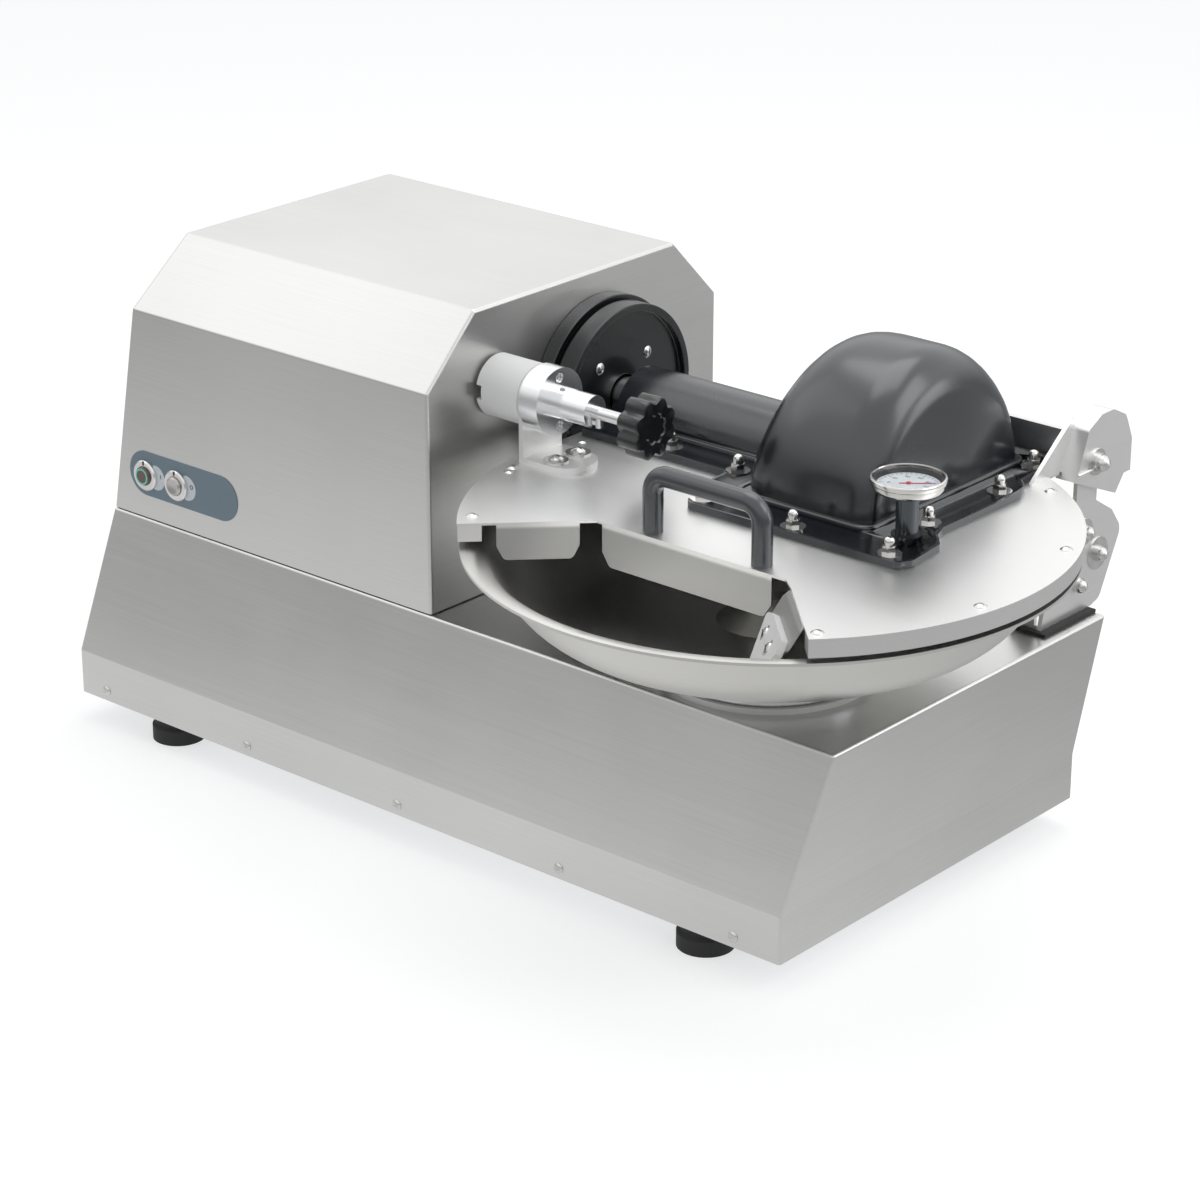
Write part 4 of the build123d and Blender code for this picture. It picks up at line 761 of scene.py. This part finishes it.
old = pick(flange, "FACE", on_old_dome)
bpy.ops.mesh.delete(type="FACE")
print("old dome faces removed:", old)
finish_piece(flange, "cover_flange", "lid", 35)
BEAD_LOW, BEAD_HIGH = (246.5, -66.0, 352.5), (394.0, 165.5, 357.6)
BEAD_CORNER, BEAD_WIDTH, BEAD_ROUND = 16, 7.5, 2.0
bead = block(BEAD_LOW, BEAD_HIGH)
pick(bead, "EDGE", lambda middle, run: abs(run.z) > 0.001)
bpy.ops.mesh.bevel(offset=BEAD_CORNER * MM, segments=6)
object_mode()
pick(bead, "FACE", lambda middle, normal: abs(normal.z) > 0.9)
bpy.ops.mesh.inset(thickness=BEAD_WIDTH * MM)
bpy.ops.mesh.bridge_edge_loops(use_merge=False)
object_mode()
modify(bead, "BEVEL", width=BEAD_ROUND * MM, segments=3, limit_method="ANGLE", angle_limit=SHARP)
put(bead, at(0, 0, 0))
finish_piece(bead, "cover_bead", "lid", 40)
paint(bead, finishes["black_satin"])
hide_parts("lid_cover")

# %% [markdown]
# The dial case is pressed from thin sheet in two steps: a wide bezel that holds the glass, and a
# narrower cup below it. Turned on the lathe as one profile, it shows both steps.

# %% Dial case
CASE = [(0, 398), (26.5, 398), (28.8, 399.6), (29.6, 401.5), (29.8, 404.6), (31.0, 405.2), (31.5, 406.0)]
CASE += [(31.5, 409.2), (31.0, 409.9), (29.6, 410.0), (29.3, 409.4), (29.3, 402.0), (0, 402.0)]
dial_case = lathe(CASE, 96)
put(dial_case, DIAL_AXIS)
finish_piece(dial_case, "dial_case", "lid")
paint(dial_case, finishes["thermo_steel"])
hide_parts("thermometer_case")

# %% [markdown]
# The dial thermometer has a white enamelled plate under glass, with a printed scale from 0 to
# 120 degrees and a dark gasket round it. One long and one short tick are modelled and copied
# round the scale; the figures are text turned into mesh. A real plate is printed, so the marks
# are a hair thick.

# %% Dial plate, gasket and scale
DIAL_FLOOR_Z = 402.0
enamel = moulded("dial_enamel", (0.80, 0.86, 0.90), 0.3, 1800.0, 0.00002, 0.03, 0.3)
dial_ink = moulded("dial_ink", (0.06, 0.12, 0.22), 0.45, 1800.0, 0.00001, 0.05)
plate = lathe([(0, 0.02), (26.4, 0.02), (26.4, 0.35), (0, 0.35)], 96)
put(plate, at(DIAL_X, DIAL_Y, DIAL_FLOOR_Z))
paint(finish_piece(plate, "dial_plate", "lid"), enamel)
GASKET = [(26.1, 0.05), (29.2, 0.05), (29.2, 4.6), (28.6, 4.9), (27.3, 2.4), (26.1, 0.9), (26.1, 0.05)]
gasket = lathe(GASKET, 96)
put(gasket, at(DIAL_X, DIAL_Y, DIAL_FLOOR_Z))
paint(finish_piece(gasket, "dial_gasket", "lid"), finishes["black_rubber"])
SCALE_START = 210.0
SCALE_SWEEP = 240.0
SCALE_STEPS = 24
TICK_LOW, TICK_HIGH = (-0.28, 0.34), (0.28, 0.44)
TICK_OUT = 24.6
long_tick = block((20.0, *TICK_LOW), (TICK_OUT, *TICK_HIGH))
short_tick = block((22.4, *TICK_LOW), (TICK_OUT, *TICK_HIGH))
ticks = []
for step in range(SCALE_STEPS + 1):
    tick = copy_of(short_tick if step % 4 else long_tick)
    turn = math.radians(SCALE_START - SCALE_SWEEP * step / SCALE_STEPS)
    tick.rotation_euler = (0, 0, turn)
    ticks.append(tick)
discard(long_tick)
discard(short_tick)
scale_marks = join(ticks)
only(scale_marks)
bpy.ops.object.transform_apply(location=True, rotation=True, scale=True)
put(scale_marks, at(DIAL_X, DIAL_Y, DIAL_FLOOR_Z))
paint(finish_piece(scale_marks, "dial_ticks", "lid"), dial_ink)
FIGURE_RADIUS, FIGURE_SIZE = 16.2, 5.0
figures = []
for index, value in enumerate(range(0, 121, 20)):
    clear()
    bpy.ops.object.text_add()
    figure = bpy.context.object
    figure.data.body = str(value)
    figure.data.align_x = "CENTER"
    figure.data.align_y = "CENTER"
    figure.data.size = FIGURE_SIZE * MM
    figure.data.extrude = 0.05 * MM
    only(figure)
    bpy.ops.object.convert(target="MESH")
    figure = bpy.context.object
    turn = math.radians(SCALE_START - SCALE_SWEEP * index / 6)
    reach = FIGURE_RADIUS * MM
    figure.location = (reach * math.cos(turn), reach * math.sin(turn), 0.39 * MM)
    figures.append(figure)
dial_figures = join(figures)
only(dial_figures)
bpy.ops.object.transform_apply(location=True, rotation=True, scale=True)
put(dial_figures, at(DIAL_X, DIAL_Y, DIAL_FLOOR_Z))
paint(finish_piece(dial_figures, "dial_figures", "lid"), dial_ink)

# %% [markdown]
# The pointer is a thin painted needle on a small round boss. It is drawn as a slim block whose
# far end is pinched, with the boss turned on the lathe, and it turns with its own body.

# %% Needle
NEEDLE_TURN = math.radians(38)
needle = block((-7.5, -0.7, 0.0), (22.0, 0.7, 0.5), 0.1)
pick(needle, "VERT", lambda point, normal: point.x > 0.02)
bpy.ops.transform.resize(value=(1, 0.3, 1))
object_mode()
boss = lathe([(0, 0), (2.2, 0), (2.2, 0.8), (1.6, 1.3), (0, 1.3)], 32)
needle = join([needle, boss])
put(needle, at(DIAL_X, DIAL_Y, DIAL_FLOOR_Z + 0.5), (0, 0, NEEDLE_TURN))
finish_piece(needle, "pointer_needle", "thermometer_pointer")
paint(needle, finishes["pointer_red"])
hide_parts("thermometer_pointer")

# %% [markdown]
# The nylon scraper is held on its sloping flap by two pan head screws in slots, so that it can be
# set close to the bowl. One screw is turned on the lathe and gets a low bar across its head,
# which stands for the driver slot and catches the light as its edges do. Both screws are copies.

# %% Scraper screws
CHUTE_TURN = math.radians(-44.5)
CHUTE_SLOPE = math.radians(62)
along = Vector((math.cos(CHUTE_TURN), math.sin(CHUTE_TURN), 0))
lean = math.sin(CHUTE_SLOPE)
outward = Vector((math.sin(CHUTE_TURN) * lean, -math.cos(CHUTE_TURN) * lean, math.cos(CHUTE_SLOPE)))
upward = outward.cross(along)
turn_to_flap = outward.to_track_quat("Z", "Y").to_euler()
CHUTE_CORNER = at(414, -192, 347)
SCRAPER_THICK = 6.0
SLOT_MIDDLES = ((18.0, -34.0), (44.0, -36.0))
HEAD = [(0, 0.2), (2.4, 0.2), (2.4, 0.9), (4.9, 0.9), (5.0, 1.6), (4.2, 2.9), (2.6, 3.5), (0, 3.6)]
head = lathe(HEAD, 32)
bar = block((-4.6, -0.55, 3.05), (4.6, 0.55, 3.7), 0.1)
screw_pattern = join([head, bar])
for number, (run, rise) in enumerate(SLOT_MIDDLES, 1):
    place = CHUTE_CORNER + (along * run + upward * rise + outward * SCRAPER_THICK) * MM
    screw = put(copy_of(screw_pattern), place, turn_to_flap)
    finish_piece(screw, "scraper_screw_" + str(number), "lid")
    paint(screw, finishes["bright_screw"])
discard(screw_pattern)

# %% [markdown]
# A weld bead is a row of overlapping drops. One drop is a flattened ball, copied in a row on the
# outer face of each hinge ear. The rows stand clear of the lid plate, so they join nothing to it.

# %% Weld beads
RIGHT_SEAM = 441.2
SEAM_FRONT, SEAM_Z = 171.0, 349.6
DROPS, DROP_STEP = 14, 2.0
DROP_SHAPE = (1.5 * MM, 1.7 * MM, 1.3 * MM)
clear()
bpy.ops.mesh.primitive_uv_sphere_add(segments=12, ring_count=8, radius=1.0)
drop_pattern = bpy.context.object
drops = []
for seam_x in (RIGHT_SEAM, 2 * BOWL_X - RIGHT_SEAM):
    for step in range(DROPS):
        drop = put(copy_of(drop_pattern), at(seam_x, SEAM_FRONT + DROP_STEP * step, SEAM_Z))
        drop.scale = DROP_SHAPE
        drops.append(drop)
discard(drop_pattern)
weld = join(drops)
finish_piece(weld, "ear_welds", "lid", 60)
paint(weld, finishes["bent_stainless"])

# %% [markdown]
# The star knob is moulded with eight fingers, a hub behind and a slightly sunk face. A round
# blank is drawn, and the points between the fingers are scaled towards the axis in bands, which
# cuts the scallops. Extruding, scaling and a bevel then give the ribs their bright edges.

# %% Star knob
FINGERS = 8
KNOB_R = 27.4
SCALLOP = (0.835, 0.86, 0.905, 0.955, 0.985, 1.0, 1.0)
STEPS_PER_FINGER = 12
KNOB_POINTS = FINGERS * STEPS_PER_FINGER
KNOB_DEPTH = 20.0


def scallop_band(point):
    """How many points this one is from the middle of its scallop."""
    offset = round(math.atan2(point.y, point.x) / TAU * FINGERS * STEPS_PER_FINGER) % STEPS_PER_FINGER
    return min(offset, STEPS_PER_FINGER - offset)


clear()
bpy.ops.mesh.primitive_circle_add(vertices=KNOB_POINTS, radius=KNOB_R * MM, fill_type="NGON")
knob = bpy.context.object
for band, share in enumerate(SCALLOP):
    pick(knob, "VERT", lambda point, normal: scallop_band(point) == band)
    bpy.ops.transform.resize(value=(share, share, 1))
pick(knob, "FACE", lambda middle, normal: True)
bpy.ops.mesh.extrude_region_move(TRANSFORM_OT_translate={"value": (0, 0, KNOB_DEPTH * MM)})
for share, rise in ((0.93, 1.0), (0.55, 0.0), (0.90, -1.4)):
    bpy.ops.mesh.extrude_region_move(TRANSFORM_OT_translate={"value": (0, 0, rise * MM)})
    bpy.ops.transform.resize(value=(share, share, 1))
object_mode()
pick(knob, "FACE", lambda middle, normal: middle.z < 0.0001 and abs(normal.z) > 0.9)
bpy.ops.mesh.extrude_region_move(TRANSFORM_OT_translate={"value": (0, 0, -1.0 * MM)})
bpy.ops.transform.resize(value=(0.92, 0.92, 1))
object_mode()
modify(knob, "BEVEL", width=0.9 * MM, segments=2, limit_method="ANGLE", angle_limit=SHARP)
put(knob, at(168.6, LOCK_Y, LOCK_Z), ALONG_X)
paint(finish_piece(knob, "star_knob_ribbed", "lock_plunger", 30), finishes["knob_black"])
hub = lathe([(0, 0), (14.5, 0), (15.5, 0.8), (16.5, 7.2), (0, 7.2)], 48)
put(hub, at(162.0, LOCK_Y, LOCK_Z), ALONG_X)
paint(finish_piece(hub, "star_knob_hub", "lock_plunger"), finishes["knob_black"])
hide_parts("star_knob")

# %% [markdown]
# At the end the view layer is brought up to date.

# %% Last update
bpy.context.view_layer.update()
